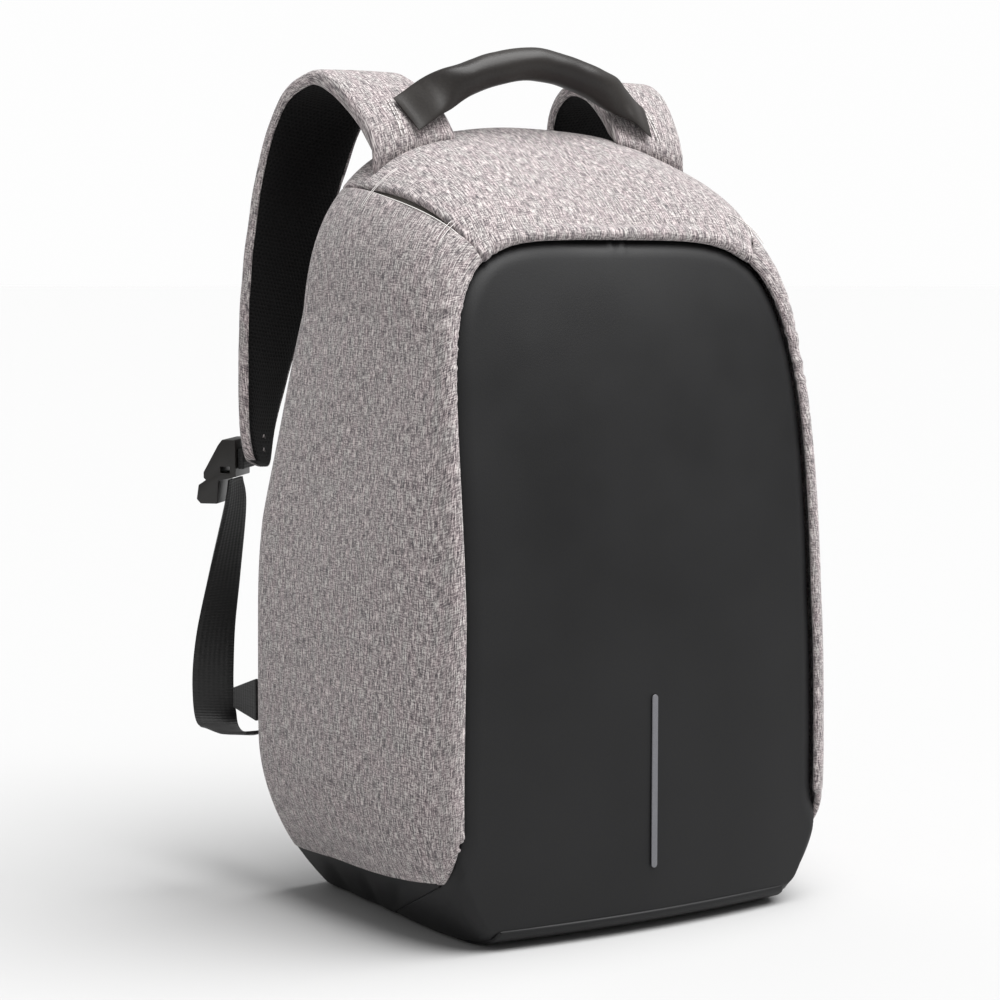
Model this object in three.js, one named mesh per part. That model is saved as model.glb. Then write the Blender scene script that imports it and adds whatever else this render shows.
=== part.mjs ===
// An anti-theft backpack: a rounded fabric body with a coated front panel, two padded
// shoulder straps, adjuster buckles, lower webbing and a padded top handle.
// Millimetres. +Z is up, the front panel faces -Y, the straps hang at +Y, and X = 0 is the
// plane of symmetry. The left side of the photograph is the -X side.

import * as THREE from 'three';
import { mergeVertices } from 'three/addons/utils/BufferGeometryUtils.js';

// The body, measured over its fabric.
const bodyHeight = 446;
const bodyWidth = 301;
const bodyDepth = 187;
const panelHeight = 385;
const panelWidth = 241;
const floorLift = 11;
const footRadius = 12;
const backInset = 9;

// The walls and the clearance that neighbouring pieces keep.
const clothWall = 2.2;
const panelWall = 1.8;
const padWall = 9;
const seamGap = 0.5;
const panelInset = 1.1;
const rimProud = 2.4;
const rimWidth = 8;

// The two outlines that the body is lofted between. Heights and widths are shares of the
// outline's own, and start and lean are shares of the body's depth: how far back the
// outline stands at its foot, and how far it has leaned at its top.
const frontOutline = {
  height: panelHeight, width: panelWidth, floor: floorLift,
  footWide: 0.88, widestAt: 0.17, shoulderWide: 0.98, shoulderAt: 0.47, squareness: 4.8,
  slitAngle: 1.02, start: -0.5, lean: 0.173, leanFrom: 0.33, leanPower: 2.1,
};
const crestOutline = {
  height: bodyHeight, width: bodyWidth, floor: 0,
  footWide: 0.72, widestAt: 0.215, shoulderWide: 0.871, shoulderAt: 0.767, squareness: 2.76,
  slitAngle: 0.618, start: 0.428, lean: -0.256, leanFrom: 0.496, leanPower: 1.2,
};
const sideFullness = 2;
const topFullness = 1.12;
const floorRound = 0.25;

// The front panel and the strip on it.
const panelDome = 7;
const stripLength = 97;
const stripWidth = 3.8;
const stripThick = 0.8;
const stripFoot = 36;

// The base: the front panel's edge turns a round corner under the side panel and falls on
// straight to the floor, and a gusset fills the rest of the way to the back.
const gussetFront = 42;
const gussetBack = 31;
const gussetStart = 2;
const sweepHeight = 66;
const sweepShoulder = 47.5;
const sweepRound = 20;
const sweepReach = 100;
const rimFade = 0.62;

// The slit between each side panel and the top panel, and the lining behind it.
const slitWidth = 3.6;
const slitLiningWide = 24;
const slitLiningThick = 1.4;

// The crown of the back panel's padding, and its clearance inside the skin.
const backCrown = 5;
const backClearance = 1.9;

// Straps. The table follows the middle of the left strap from its root on the top panel,
// over the shoulder bend and down to the foot. Places are offsets from the root as shares
// of the body's width, depth and height, wide and thick are shares of the strap's own
// sizes, and the angles are in degrees: turn about the vertical, and tilt across the band.
const strapWidth = 57;
const strapThick = 9;
const strapCover = 2.2;
const strapRootOut = 81;
const strapRootBack = 21;
const strapRows = [
  { out: 0.000, back: 0.000, up: 0.007, wide: 0.92, thick: 0.75, turn: 0, tilt: 15 },
  { out: 0.007, back: 0.078, up: 0.045, wide: 0.93, thick: 0.90, turn: 0, tilt: 8 },
  { out: 0.022, back: 0.203, up: 0.083, wide: 0.95, thick: 1.00, turn: 0, tilt: 1 },
  { out: 0.028, back: 0.316, up: 0.093, wide: 1.00, thick: 1.00, turn: 0, tilt: 0 },
  { out: 0.045, back: 0.449, up: 0.060, wide: 1.03, thick: 1.00, turn: 0, tilt: 0 },
  { out: 0.071, back: 0.527, up: -0.023, wide: 1.00, thick: 1.00, turn: 3, tilt: 0 },
  { out: 0.100, back: 0.570, up: -0.147, wide: 0.96, thick: 1.00, turn: 11, tilt: 0 },
  { out: 0.125, back: 0.586, up: -0.239, wide: 0.86, thick: 0.95, turn: 22, tilt: 0 },
  { out: 0.139, back: 0.586, up: -0.290, wide: 0.80, thick: 0.90, turn: 30, tilt: 0 },
  { out: 0.156, back: 0.576, up: -0.357, wide: 0.74, thick: 0.80, turn: 40, tilt: 0 },
  { out: 0.164, back: 0.551, up: -0.409, wide: 0.64, thick: 0.66, turn: 48, tilt: 0 },
];

// The top handle: a padded arch whose ends flatten and lie on the strap roots.
const handleRise = 30;
const handlePower = 1.7;
const handleTall = 19;
const handleDeep = 21;
const handleEndTall = 27;
const handleEndThick = 6.5;
const handleSeat = 0.075;

// The adjuster buckle at the strap's foot, in the plane of the strap's thickness and
// height: a wedge with a lever notch, as shares of its depth and height.
const lockWidth = 31;
const lockDepth = 24;
const lockHeight = 38;
const lockStandOff = 9;
const lockRise = 15;
const lockProfile = [
  { deep: 0.00, high: 1.00 }, { deep: 0.34, high: 1.00 }, { deep: 0.45, high: 0.91 },
  { deep: 0.82, high: 0.49 }, { deep: 0.82, high: 0.40 }, { deep: 0.76, high: 0.37 },
  { deep: 0.95, high: 0.29 }, { deep: 1.00, high: 0.07 }, { deep: 0.90, high: 0.00 },
  { deep: 0.47, high: 0.00 }, { deep: 0.44, high: 0.36 }, { deep: 0.00, high: 0.42 },
];
const lockSlot = { deep: 0.15, high: 0.48, wide: 0.24, tall: 0.10 };

// The webbing that runs from the buckle down and forward to the body's rear edge. Places
// are offsets from the strap's foot, as in the table of the strap.
const webWidth = 25;
const webThick = 1.8;
const webRows = [
  { out: 0.033, back: 0.048, up: -0.020, wide: 1.00, turn: 46, tilt: 0 },
  { out: 0.034, back: 0.051, up: -0.058, wide: 1.00, turn: 33, tilt: 0 },
  { out: 0.051, back: 0.080, up: -0.152, wide: 1.00, turn: 14, tilt: 0 },
  { out: 0.065, back: 0.102, up: -0.231, wide: 1.00, turn: -4, tilt: 0 },
  { out: 0.071, back: 0.104, up: -0.305, wide: 1.00, turn: -26, tilt: -4 },
  { out: 0.068, back: 0.078, up: -0.350, wide: 1.00, turn: -22, tilt: -14 },
  { out: 0.064, back: -0.027, up: -0.358, wide: 0.86, turn: -10, tilt: -8 },
  { out: 0.052, back: -0.143, up: -0.350, wide: 0.62, turn: 0, tilt: 0 },
];

// The triangular tab that anchors the webbing in the seam beside the back panel.
const tabLength = 30;
const tabTall = 25;
const tabPoint = 9;
const tabThick = 2;
const anchorHeight = 115;
const anchorShare = 1.45;

// How finely the soft pieces are faceted: shares from the front edge to the crest, then
// round the back edge.
const depthShares = [0, 0.05, 0.1, 0.16, 0.24, 0.34, 0.45, 0.57, 0.7, 0.85, 1].map((t) => t * t);
const backShares = [1.34, 1.67, 2];
const rowsOnSide = 15;
const columnsOnTop = 24;
const columnsOnPanel = 18;
const rowsOnSweep = 7;
const rowsOnPanel = 10;
const earStrip = 11;
const floorShares = [0, 0.01, 0.035, 0.08, 0.15, 0.25, 0.4, 0.578];
const rowsOnBack = 12;
const columnsOnFloor = 14;
const stepsOnStrap = 26;
const stepsOnWeb = 24;
const stepsOnHandle = 22;
const handleFacets = 12;
const outlineSteps = 96;
const tinyStep = 0.002;

const lerp = THREE.MathUtils.lerp;
const clamp = THREE.MathUtils.clamp;
const radians = THREE.MathUtils.degToRad;

// Half an outline as three lines in X and Z, from the middle of the floor out to the foot,
// up the side to the slit, and over the top to the middle. The round corner at the foot
// turns only as far as the flare of the side above it.
function halfOutline(o) {
  const foot = (o.width / 2) * o.footWide;
  const widest = o.width / 2;
  const shoulder = (o.width / 2) * o.shoulderWide;
  const zWide = o.height * o.widestAt;
  const zShoulder = o.height * o.shoulderAt;
  let flare = 0;
  for (let i = 0; i < 20; i++) {
    const rise = zWide - o.floor - footRadius * (1 - Math.sin(flare));
    flare = Math.atan2(2 * (widest - foot), rise);
  }
  const zFoot = o.floor + footRadius * (1 - Math.sin(flare));
  const cornerX = foot - footRadius * Math.cos(flare);
  const arch = (angle) => new THREE.Vector2(
    shoulder * Math.cos(angle) ** (2 / o.squareness),
    zShoulder + (o.height - zShoulder) * Math.sin(angle) ** (2 / o.squareness));
  const floor = [new THREE.Vector2(0, o.floor), new THREE.Vector2(cornerX, o.floor)];
  const side = [];
  for (let i = 0; i <= outlineSteps / 4; i++) {
    const a = (i / (outlineSteps / 4)) * (Math.PI / 2 - flare);
    const up = footRadius * (1 - Math.cos(a));
    side.push(new THREE.Vector2(cornerX + footRadius * Math.sin(a), o.floor + up));
  }
  for (let i = 1; i <= outlineSteps; i++) {
    const z = lerp(zFoot, zShoulder, i / outlineSteps);
    const below = z < zWide;
    const end = below ? foot : shoulder;
    const reach = below ? zWide - zFoot : zShoulder - zWide;
    side.push(new THREE.Vector2(widest - (widest - end) * ((z - zWide) / reach) ** 2, z));
  }
  for (let i = 1; i <= outlineSteps; i++) {
    side.push(arch((o.slitAngle * i) / outlineSteps));
  }
  const top = [];
  for (let i = 0; i <= outlineSteps; i++) {
    top.push(arch(Math.min(lerp(o.slitAngle, Math.PI / 2, i / outlineSteps), Math.PI / 2)));
  }
  top[outlineSteps].set(0, o.height);
  return { floor: measured(floor), side: measured(side), top: measured(top), cornerX };
}

// A line with the running length at each of its points.
function measured(points) {
  const lengths = [0];
  for (let i = 1; i < points.length; i++) {
    lengths.push(lengths[i - 1] + points[i].distanceTo(points[i - 1]));
  }
  return { points, lengths, total: lengths[lengths.length - 1] };
}

function along(line, share) {
  const target = clamp(share, 0, 1) * line.total;
  let i = 1;
  while (i < line.points.length - 1 && line.lengths[i] < target) i++;
  const t = (target - line.lengths[i - 1]) / (line.lengths[i] - line.lengths[i - 1]);
  return line.points[i - 1].clone().lerp(line.points[i], t);
}

// The share of a rising line at which it reaches height z.
function shareAtHeight(line, z) {
  let i = 1;
  while (i < line.points.length - 1 && line.points[i].y < z) i++;
  const a = line.points[i - 1];
  const b = line.points[i];
  const t = clamp((z - a.y) / (b.y - a.y), 0, 1);
  return lerp(line.lengths[i - 1], line.lengths[i], t) / line.total;
}

// The share of the top line at which it has come in to half width x.
function shareAcross(line, x) {
  let i = 1;
  while (i < line.points.length - 1 && line.points[i].x > x) i++;
  const a = line.points[i - 1];
  const b = line.points[i];
  const t = clamp((a.x - x) / (a.x - b.x), 0, 1);
  return lerp(line.lengths[i - 1], line.lengths[i], t) / line.total;
}

// The outward normal of the crest line, in X and Z.
function outward(line, share) {
  const a = along(line, share - tinyStep / 2);
  const b = along(line, share + tinyStep / 2);
  return new THREE.Vector2(b.y - a.y, a.x - b.x).normalize();
}

const front = halfOutline(frontOutline);
const crest = halfOutline(crestOutline);

function leanAt(o, z) {
  const t = clamp((z / o.height - o.leanFrom) / (1 - o.leanFrom), 0, 1);
  return bodyDepth * (o.start + o.lean * t ** o.leanPower);
}

// Half the width of the front outline at height z.
function frontHalfWidth(z) {
  const sideTop = along(front.side, 1).y;
  if (z < sideTop) return along(front.side, shareAtHeight(front.side, z)).x;
  return Math.max(along(front.top, shareAtHeight(front.top, z)).x, 1);
}

// How far forward of its rim the front panel swells at half width x and height z.
function domeAt(x, halfWidth, z) {
  const across = 1 - Math.min(Math.abs(x) / halfWidth, 1) ** 2;
  return panelDome * across * (1 - clamp(z / panelHeight, 0, 1) ** 8);
}

// A point of the body's skin. The piece is floor, side or top, s runs along that piece of
// the outlines, and v runs from the front edge (0) to the crest (1) and round to the back
// panel (2). The inset moves a point of the back edge further in.
function skin(piece, s, v, inset = 0) {
  const f = along(front[piece], s);
  const c = along(crest[piece], s);
  const n = piece === 'floor' ? new THREE.Vector2(0, -1) : outward(crest[piece], s);
  const underside = Math.max(0, -n.y);
  const fullness = n.y < 0 ? sideFullness : lerp(topFullness, sideFullness, Math.abs(n.x));
  const reach = lerp(1, floorRound, underside);
  const swell = (1 - (1 - Math.min(v / reach, 1)) ** fullness) ** (1 / fullness);
  const yCrest = leanAt(crestOutline, c.y);
  let yFront = leanAt(frontOutline, f.y);
  if (piece === 'floor') yFront -= domeAt(f.x, front.cornerX, f.y);
  const round = Math.max(0, v - 1) * (Math.PI / 2);
  const pull = backInset * (1 - Math.cos(round)) + inset;
  const x = lerp(f.x, c.x, swell) - n.x * pull;
  const z = lerp(f.y, c.y, swell) - n.y * pull;
  const behind = bodyDepth * (0.5 - crestOutline.start) * Math.sin(round);
  const y = lerp(yFront, yCrest, Math.min(v, 1)) + behind;
  return new THREE.Vector3(x, y, z);
}

// The depth behind the front edge, in millimetres, as a share of the way to the crest.
function depthShare(piece, s, depth) {
  const back = leanAt(crestOutline, along(crest[piece], s).y);
  return depth / (back - leanAt(frontOutline, along(front[piece], s).y));
}

// The height of the front panel's swept edge at a depth behind the front, and its inverse.
function sweepAt(depth) {
  const fall = lerp(sweepShoulder, floorLift, clamp(depth / sweepReach, 0, 1));
  const t = clamp(1 - depth / sweepRound, 0, 1);
  return fall + (sweepHeight - sweepShoulder) * (1 - Math.sqrt(1 - t * t));
}

function sweepDepth(z) {
  if (z >= sweepHeight) return 0;
  let near = 0;
  let far = sweepReach;
  for (let i = 0; i < 30; i++) {
    const middle = (near + far) / 2;
    if (sweepAt(middle) > z) near = middle;
    else far = middle;
  }
  return near;
}

// A closed wall from a grid of surface points: place(a, b) gives the outer face at a grid
// share, proud raises it and thick is the wall below it, all by the face's own normal, and
// keep moves a point of the inner face clear of the neighbouring piece.
function wall(place, rows, columns, thick, proud = () => 0, keep = (p) => p, facing = null) {
  const normalAt = (a, b) => {
    const a0 = Math.max(a - tinyStep, 0);
    const a1 = Math.min(a + tinyStep, 1);
    const b0 = Math.max(b - tinyStep, 0);
    const b1 = Math.min(b + tinyStep, 1);
    const du = place(a1, b).sub(place(a0, b));
    const dv = place(a, b1).sub(place(a, b0));
    return du.cross(dv).normalize();
  };
  const faces = [[], []];
  for (const a of rows) {
    for (const b of columns) {
      const p = place(a, b);
      const n = facing ?? normalAt(a, b);
      faces[0].push(p.clone().addScaledVector(n, proud(a, b, p)));
      faces[1].push(keep(p.clone().addScaledVector(n, -thick), a, b));
    }
  }
  return solidFromGrids(faces[0], faces[1], rows.length, columns.length);
}

function solidFromGrids(outer, inner, rows, columns) {
  const index = [];
  const at = (layer, i, j) => layer * rows * columns + i * columns + j;
  const quad = (a, b, c, d) => index.push(a, b, c, a, c, d);
  for (let i = 0; i < rows - 1; i++) {
    for (let j = 0; j < columns - 1; j++) {
      quad(at(0, i, j), at(0, i + 1, j), at(0, i + 1, j + 1), at(0, i, j + 1));
      quad(at(1, i, j), at(1, i, j + 1), at(1, i + 1, j + 1), at(1, i + 1, j));
    }
  }
  for (let i = 0; i < rows - 1; i++) {
    quad(at(0, i, 0), at(1, i, 0), at(1, i + 1, 0), at(0, i + 1, 0));
    const j = columns - 1;
    quad(at(0, i, j), at(0, i + 1, j), at(1, i + 1, j), at(1, i, j));
  }
  for (let j = 0; j < columns - 1; j++) {
    quad(at(0, 0, j), at(0, 0, j + 1), at(1, 0, j + 1), at(1, 0, j));
    const i = rows - 1;
    quad(at(0, i, j), at(1, i, j), at(1, i, j + 1), at(0, i, j + 1));
  }
  return facetedSolid(outer.concat(inner), index);
}

// A BufferGeometry whose faces point out: the winding is turned over where the enclosed
// volume comes out negative.
function facetedSolid(points, index) {
  let volume = 0;
  for (let i = 0; i < index.length; i += 3) {
    volume += points[index[i]].dot(points[index[i + 1]].clone().cross(points[index[i + 2]]));
  }
  const turned = [];
  for (let i = 0; i < index.length; i += 3) {
    turned.push(index[i], index[i + (volume < 0 ? 2 : 1)], index[i + (volume < 0 ? 1 : 2)]);
  }
  const geometry = new THREE.BufferGeometry();
  const numbers = points.flatMap((p) => p.toArray());
  geometry.setAttribute('position', new THREE.Float32BufferAttribute(numbers, 3));
  geometry.setIndex(turned);
  geometry.computeVertexNormals();
  return geometry;
}

// The same piece for the right side, with its faces turned back to point out.
function mirrored(geometry) {
  const bare = new THREE.BufferGeometry();
  bare.setAttribute('position', geometry.getAttribute('position'));
  bare.setIndex(geometry.getIndex());
  const source = mergeVertices(bare);
  const at = source.getAttribute('position');
  const points = [];
  for (let i = 0; i < at.count; i++) points.push(new THREE.Vector3(-at.getX(i), at.getY(i), at.getZ(i)));
  return facetedSolid(points, Array.from(source.getIndex().array));
}

const evenly = (count) => Array.from({ length: count + 1 }, (_, i) => i / count);
const wrapShares = depthShares.concat(backShares);

// The pieces on the left are made at -X.
function leftSkin(piece, s, v, inset = 0) {
  const p = skin(piece, s, v, inset);
  p.x = -p.x;
  return p;
}

// Half the width of the slit, or of the closed seam at its ends, as a share of the line.
function slitShare(piece, v) {
  const open = Math.sin(Math.PI * clamp(v / 0.96, 0, 1)) ** 1.4;
  const length = lerp(front[piece].total, crest[piece].total, Math.min(v, 1));
  return (seamGap + slitWidth * open) / 2 / length;
}

function gussetTop(v) {
  return lerp(gussetFront, gussetBack, Math.min(v, 1));
}

// The lowest height of the side panel at depth share v.
function sideFloor(v) {
  const depth = v * (leanAt(crestOutline, 0) - leanAt(frontOutline, 0));
  return Math.max(gussetTop(v), sweepAt(depth));
}

// The rolled rim along the front edge of the grey pieces, d millimetres from that edge.
function rim(d) {
  return rimProud * Math.cos((clamp(d / rimWidth, 0, 1) * Math.PI) / 2) ** 2;
}

// The distance from the front edge, or from the swept edge below it, at a depth and height.
function edgeDistance(depth, z) {
  if (z > sweepHeight) return depth;
  let near = Infinity;
  for (let i = 0; i <= outlineSteps; i++) {
    const d = (sweepReach * i) / outlineSteps;
    near = Math.min(near, Math.hypot(depth - d, z - sweepAt(d)));
  }
  return near;
}

// The inner face of a grey piece stays outside the front outline, where the panel lies.
function outsideFront(p) {
  const depth = p.y - leanAt(frontOutline, Math.min(p.z, panelHeight));
  if (depth > panelWall * 2) return p;
  const x = Math.abs(p.x);
  const sideTop = along(front.side, 1);
  if (p.z < sideTop.y) {
    const least = frontHalfWidth(p.z);
    return x < least ? p.setX(Math.sign(p.x) * least) : p;
  }
  const across = Math.min(x, sideTop.x);
  const t = shareAcross(front.top, across);
  const least = along(front.top, t).y;
  return p.z < least ? p.setZ(least) : p;
}

function sidePanel() {
  const place = (a, b) => {
    const v = b * 2;
    const low = shareAtHeight(front.side, sideFloor(v)) + seamGap / 2 / front.side.total;
    return leftSkin('side', lerp(low, 1 - slitShare('side', v), a), v);
  };
  const proud = (a, b, p) => {
    const depth = p.y - leanAt(frontOutline, p.z);
    const fade = clamp((p.z / sweepHeight - rimFade) / (1 - rimFade), 0, 1);
    return rim(edgeDistance(depth, p.z)) * fade;
  };
  const rows = evenly(rowsOnSide).map((t) => 1 - (1 - t) ** 1.35);
  return wall(place, rows, wrapShares.map((v) => v / 2), clothWall, proud, outsideFront);
}

function topPanel() {
  const place = (a, b) => {
    const v = b * 2;
    const t = 1 - (1 - Math.abs(a * 2 - 1)) ** 1.15;
    const s = lerp(1, slitShare('top', v), t);
    return a < 0.5 ? leftSkin('top', s, v) : skin('top', s, v);
  };
  const proud = (a, b, p) => rim(p.distanceTo(place(a, 0)));
  const columns = wrapShares.map((v) => v / 2);
  return wall(place, evenly(columnsOnTop), columns, clothWall, proud, outsideFront);
}

function basePanel() {
  const edge = 1 - (seamGap * 1.6) / front.floor.total;
  const place = (a, b) => {
    const s = Math.abs(a * 2 - 1) * edge;
    const v = Math.max(b * 2, seamGap / bodyDepth);
    return a < 0.5 ? skin('floor', s, v) : leftSkin('floor', s, v);
  };
  const low = (p, a, b) => {
    const behind = Math.max(0, b * 2 * bodyDepth - panelWall * 2);
    return p.setZ(Math.min(p.z, floorLift - seamGap + behind));
  };
  const rows = floorShares.concat([0.8, 1], backShares).map((v) => v / 2);
  return wall(place, evenly(columnsOnFloor), rows, panelWall, () => 0, low);
}

function gusset() {
  const depthRun = leanAt(crestOutline, 0) - leanAt(frontOutline, 0);
  let start = 0;
  while (sweepAt(start) > gussetTop(start / depthRun) - gussetStart) start += 0.5;
  const first = start / depthRun;
  const place = (a, b) => {
    const v = lerp(first, 2, b);
    const low = shareAtHeight(front.side, sweepAt(v * depthRun)) + seamGap / front.side.total;
    const high = shareAtHeight(front.side, gussetTop(v)) - seamGap / 2 / front.side.total;
    return leftSkin('side', lerp(low, high, a), v);
  };
  const columns = evenly(10).map((t) => (t * (1 - first)) / (2 - first));
  const round = backShares.map((v) => (v - first) / (2 - first));
  return wall(place, evenly(4), columns.concat(round), panelWall);
}

// The front panel is drawn on a flat sheet whose X runs on round the corner, and each
// point of the sheet is then laid on the front face or on the body's side.
function frontPanel() {
  const corner = along(front.side, 1 - panelInset / front.side.total);
  const edgeAt = (t) => {
    const z = lerp(floorLift, corner.y, t);
    return new THREE.Vector2(frontHalfWidth(z) + sweepDepth(z) - panelInset, z);
  };
  const topAt = (across) => {
    const p = along(front.top, 1 - Math.abs(across));
    return new THREE.Vector2(Math.sign(across) * Math.max(p.x - panelInset * 0.7, 0), p.y - panelInset);
  };
  const head = topAt(1);
  const foldColumn = 0.8;
  const place = (a, b) => {
    const across = a * 2 - 1;
    const reach = Math.abs(across);
    const edge = edgeAt(b);
    const fold = Math.min(frontHalfWidth(edge.y), edge.x - earStrip) / edge.x;
    const spread = reach < foldColumn ? (fold * reach) / foldColumn
      : lerp(fold, 1, (reach - foldColumn) / (1 - foldColumn));
    const side = Math.sign(across);
    const top = topAt(side * spread);
    const x = side * spread * edge.x + b * (top.x - side * spread * head.x);
    const z = edge.y + b * (top.y - head.y);
    const rimX = frontHalfWidth(z);
    if (z < sweepHeight && Math.abs(x) > rimX) {
      const share = shareAtHeight(front.side, z);
      const p = skin('side', share, depthShare('side', share, Math.abs(x) - rimX));
      return p.setX(p.x * Math.sign(x));
    }
    return new THREE.Vector3(x, leanAt(frontOutline, z) - domeAt(x, rimX, z), z);
  };
  const swept = (sweepHeight - floorLift) / (corner.y - floorLift);
  const rows = evenly(rowsOnSweep).map((t) => swept * t ** 1.4)
    .concat(evenly(rowsOnPanel).slice(1).map((t) => lerp(swept, 1, 1 - (1 - t) ** 1.6)));
  const earWide = (1 - foldColumn) / floorShares.at(-1);
  const ear = floorShares.slice(1).map((v) => foldColumn + earWide * v);
  const columns = ear.slice().reverse().map((v) => -v)
    .concat(evenly(columnsOnPanel).map((t) => foldColumn * (t * 2 - 1)), ear);
  return wall(place, columns.map((v) => (v + 1) / 2), rows, panelWall);
}

// The back panel fills the ring that the skin ends in.
function backPanel() {
  const ring = (piece, s) => skin(piece, s, 2, backClearance);
  const place = (a, b) => {
    const across = 1 - a * 2;
    const mirror = (p) => new THREE.Vector3(Math.sign(across || 1) * p.x, p.y, p.z);
    const edge = ring('side', b);
    const bottom = mirror(ring('floor', Math.abs(across)));
    const top = mirror(ring('top', 1 - Math.abs(across)));
    const foot = ring('side', 0);
    const head = ring('side', 1);
    const y = (1 - b) * bottom.y + b * top.y + edge.y - (1 - b) * foot.y - b * head.y;
    const x = (1 - b) * bottom.x + b * top.x + across * (edge.x - (1 - b) * foot.x - b * head.x);
    const z = (1 - b) * bottom.z + b * top.z + edge.z - (1 - b) * foot.z - b * head.z;
    const crown = backCrown * (1 - across ** 4) * (1 - (b * 2 - 1) ** 4);
    return new THREE.Vector3(x, y + crown, z);
  };
  const rows = evenly(rowsOnBack + 2).map((t) => t ** 1.3);
  const facing = new THREE.Vector3(0, 1, 0);
  return wall(place, evenly(rowsOnBack), rows, padWall, () => 0, (p) => p, facing);
}

function slitLining() {
  const onSkin = (w, v) => {
    const piece = w < 0 ? 'side' : 'top';
    const length = lerp(front[piece].total, crest[piece].total, Math.min(v, 1));
    const s = (Math.abs(w) * slitLiningWide) / 2 / length;
    return leftSkin(piece, w < 0 ? 1 - s : s, v);
  };
  const place = (a, b) => {
    const w = a * 2 - 1;
    const v = lerp(0.06, 1, b);
    const p = onSkin(w, v);
    const across = onSkin(w + tinyStep * 20, v).sub(onSkin(w - tinyStep * 20, v));
    const deep = onSkin(w, v + tinyStep).sub(onSkin(w, v - tinyStep));
    const n = across.cross(deep).normalize();
    return p.addScaledVector(n, (n.z < 0 ? 1 : -1) * (clothWall + seamGap * 2));
  };
  return wall(place, evenly(4), evenly(12), slitLiningThick);
}

function reflectiveStrip() {
  const shape = new THREE.Shape();
  const r = stripWidth / 2;
  shape.absarc(0, stripLength - r, r, 0, Math.PI);
  shape.absarc(0, r, r, Math.PI, Math.PI * 2);
  const options = { depth: stripThick, bevelEnabled: false, curveSegments: 8 };
  return new THREE.ExtrudeGeometry(shape, options);
}

// The point of the top panel above a place (x, y), found by halving the outline share.
function topSkinAt(x, y) {
  let low = 0;
  let high = 1;
  let p = null;
  for (let i = 0; i < 30; i++) {
    const s = (low + high) / 2;
    const yFront = leanAt(frontOutline, along(front.top, s).y);
    const v = depthShare('top', s, y - yFront);
    p = skin('top', s, Math.min(v, 1));
    if (p.x > Math.abs(x)) low = s;
    else high = s;
  }
  return p;
}

// A band's run: smooth curves through the rows of its table, sampled at a share t.
function bandRun(origin, rows) {
  const place = new THREE.CatmullRomCurve3(rows.map((r) => new THREE.Vector3(
    origin.x - r.out * bodyWidth, origin.y + r.back * bodyDepth, origin.z + r.up * bodyHeight)));
  const size = new THREE.CatmullRomCurve3(rows.map((r) => new THREE.Vector3(r.wide, r.thick ?? 1, 0)));
  const angle = new THREE.CatmullRomCurve3(rows.map((r) => new THREE.Vector3(r.turn, r.tilt, 0)));
  size.curveType = 'catmullrom';
  angle.curveType = 'catmullrom';
  place.curveType = 'catmullrom';
  return (t) => {
    const middle = place.getPoint(t);
    const run = place.getTangent(t);
    const s = size.getPoint(t);
    const a = angle.getPoint(t);
    const turn = radians(a.x);
    const tilt = radians(a.y);
    const level = Math.cos(tilt);
    const across = new THREE.Vector3(Math.cos(turn) * level, Math.sin(turn) * level, Math.sin(tilt));
    across.addScaledVector(run, -across.dot(run)).normalize();
    return { middle, run, across, face: across.clone().cross(run), wide: s.x, thick: s.y };
  };
}

// A solid swept through sections. Each section is a ring of points, and its two ends are
// closed by fans: each cap lists the numbers of its points on the ring.
function sweptSolid(rings, caps) {
  const count = rings[0].length;
  const points = rings.flat();
  const index = [];
  for (let i = 0; i < rings.length - 1; i++) {
    for (let j = 0; j < count; j++) {
      const k = (j + 1) % count;
      const a = i * count;
      const b = a + count;
      index.push(a + j, a + k, b + k, a + j, b + k, b + j);
    }
  }
  const last = (rings.length - 1) * count;
  for (const [a, ...rest] of caps) {
    for (let i = 0; i < rest.length - 1; i++) {
      index.push(a, rest[i + 1], rest[i], last + a, last + rest[i], last + rest[i + 1]);
    }
  }
  return facetedSolid(points, index);
}

const rootSkin = topSkinAt(strapRootOut, strapRootBack);
const strapRoot = new THREE.Vector3(-strapRootOut, strapRootBack, rootSkin.z + seamGap);
const strapAt = bandRun(strapRoot, strapRows);
const strapFoot = strapAt(1);

// Points along the width, crowned, so that the band's root can follow the curved top panel.
const bandCrown = 0.6;
const widthShares = [-1, -0.34, 0.34, 1];
function acrossAt(halfWide, y, side = 1) {
  return widthShares.map((w) => new THREE.Vector2(w * halfWide, y + side * bandCrown * (1 - w * w)));
}
const coverCaps = [
  [0, 1, 2, 13], [2, 12, 13], [2, 3, 11, 12], [3, 4, 10, 11], [4, 5, 9, 10], [5, 8, 9], [5, 6, 7, 8],
];
const padCaps = [[0, 1, 9], [1, 2, 8, 9], [2, 3, 7, 8], [3, 4, 6, 7], [4, 5, 6]];

// The cover is a channel of fabric: its face and its two turned-in edges.
function coverOutline(halfWide, halfThick) {
  const skirt = -halfThick * 0.7;
  const bevel = Math.min(2, halfThick * 0.5);
  const hollow = halfWide - strapCover;
  return [
    new THREE.Vector2(-halfWide, skirt), new THREE.Vector2(-hollow, skirt),
    ...acrossAt(hollow, halfThick - strapCover),
    new THREE.Vector2(hollow, skirt), new THREE.Vector2(halfWide, skirt),
    new THREE.Vector2(halfWide, halfThick - bevel),
    ...acrossAt(halfWide - bevel, halfThick).reverse(),
    new THREE.Vector2(-halfWide, halfThick - bevel),
  ];
}

// The pad fills the channel and stands a little out of it.
function padOutline(halfWide, halfThick) {
  const x = halfWide - strapCover - seamGap;
  const bevel = Math.min(2.2, halfThick * 0.4);
  return [
    new THREE.Vector2(-x, -halfThick + bevel),
    ...acrossAt(x - bevel, -halfThick, -1),
    new THREE.Vector2(x, -halfThick + bevel),
    ...acrossAt(x, halfThick - strapCover - seamGap * 3).reverse(),
  ];
}

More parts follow.
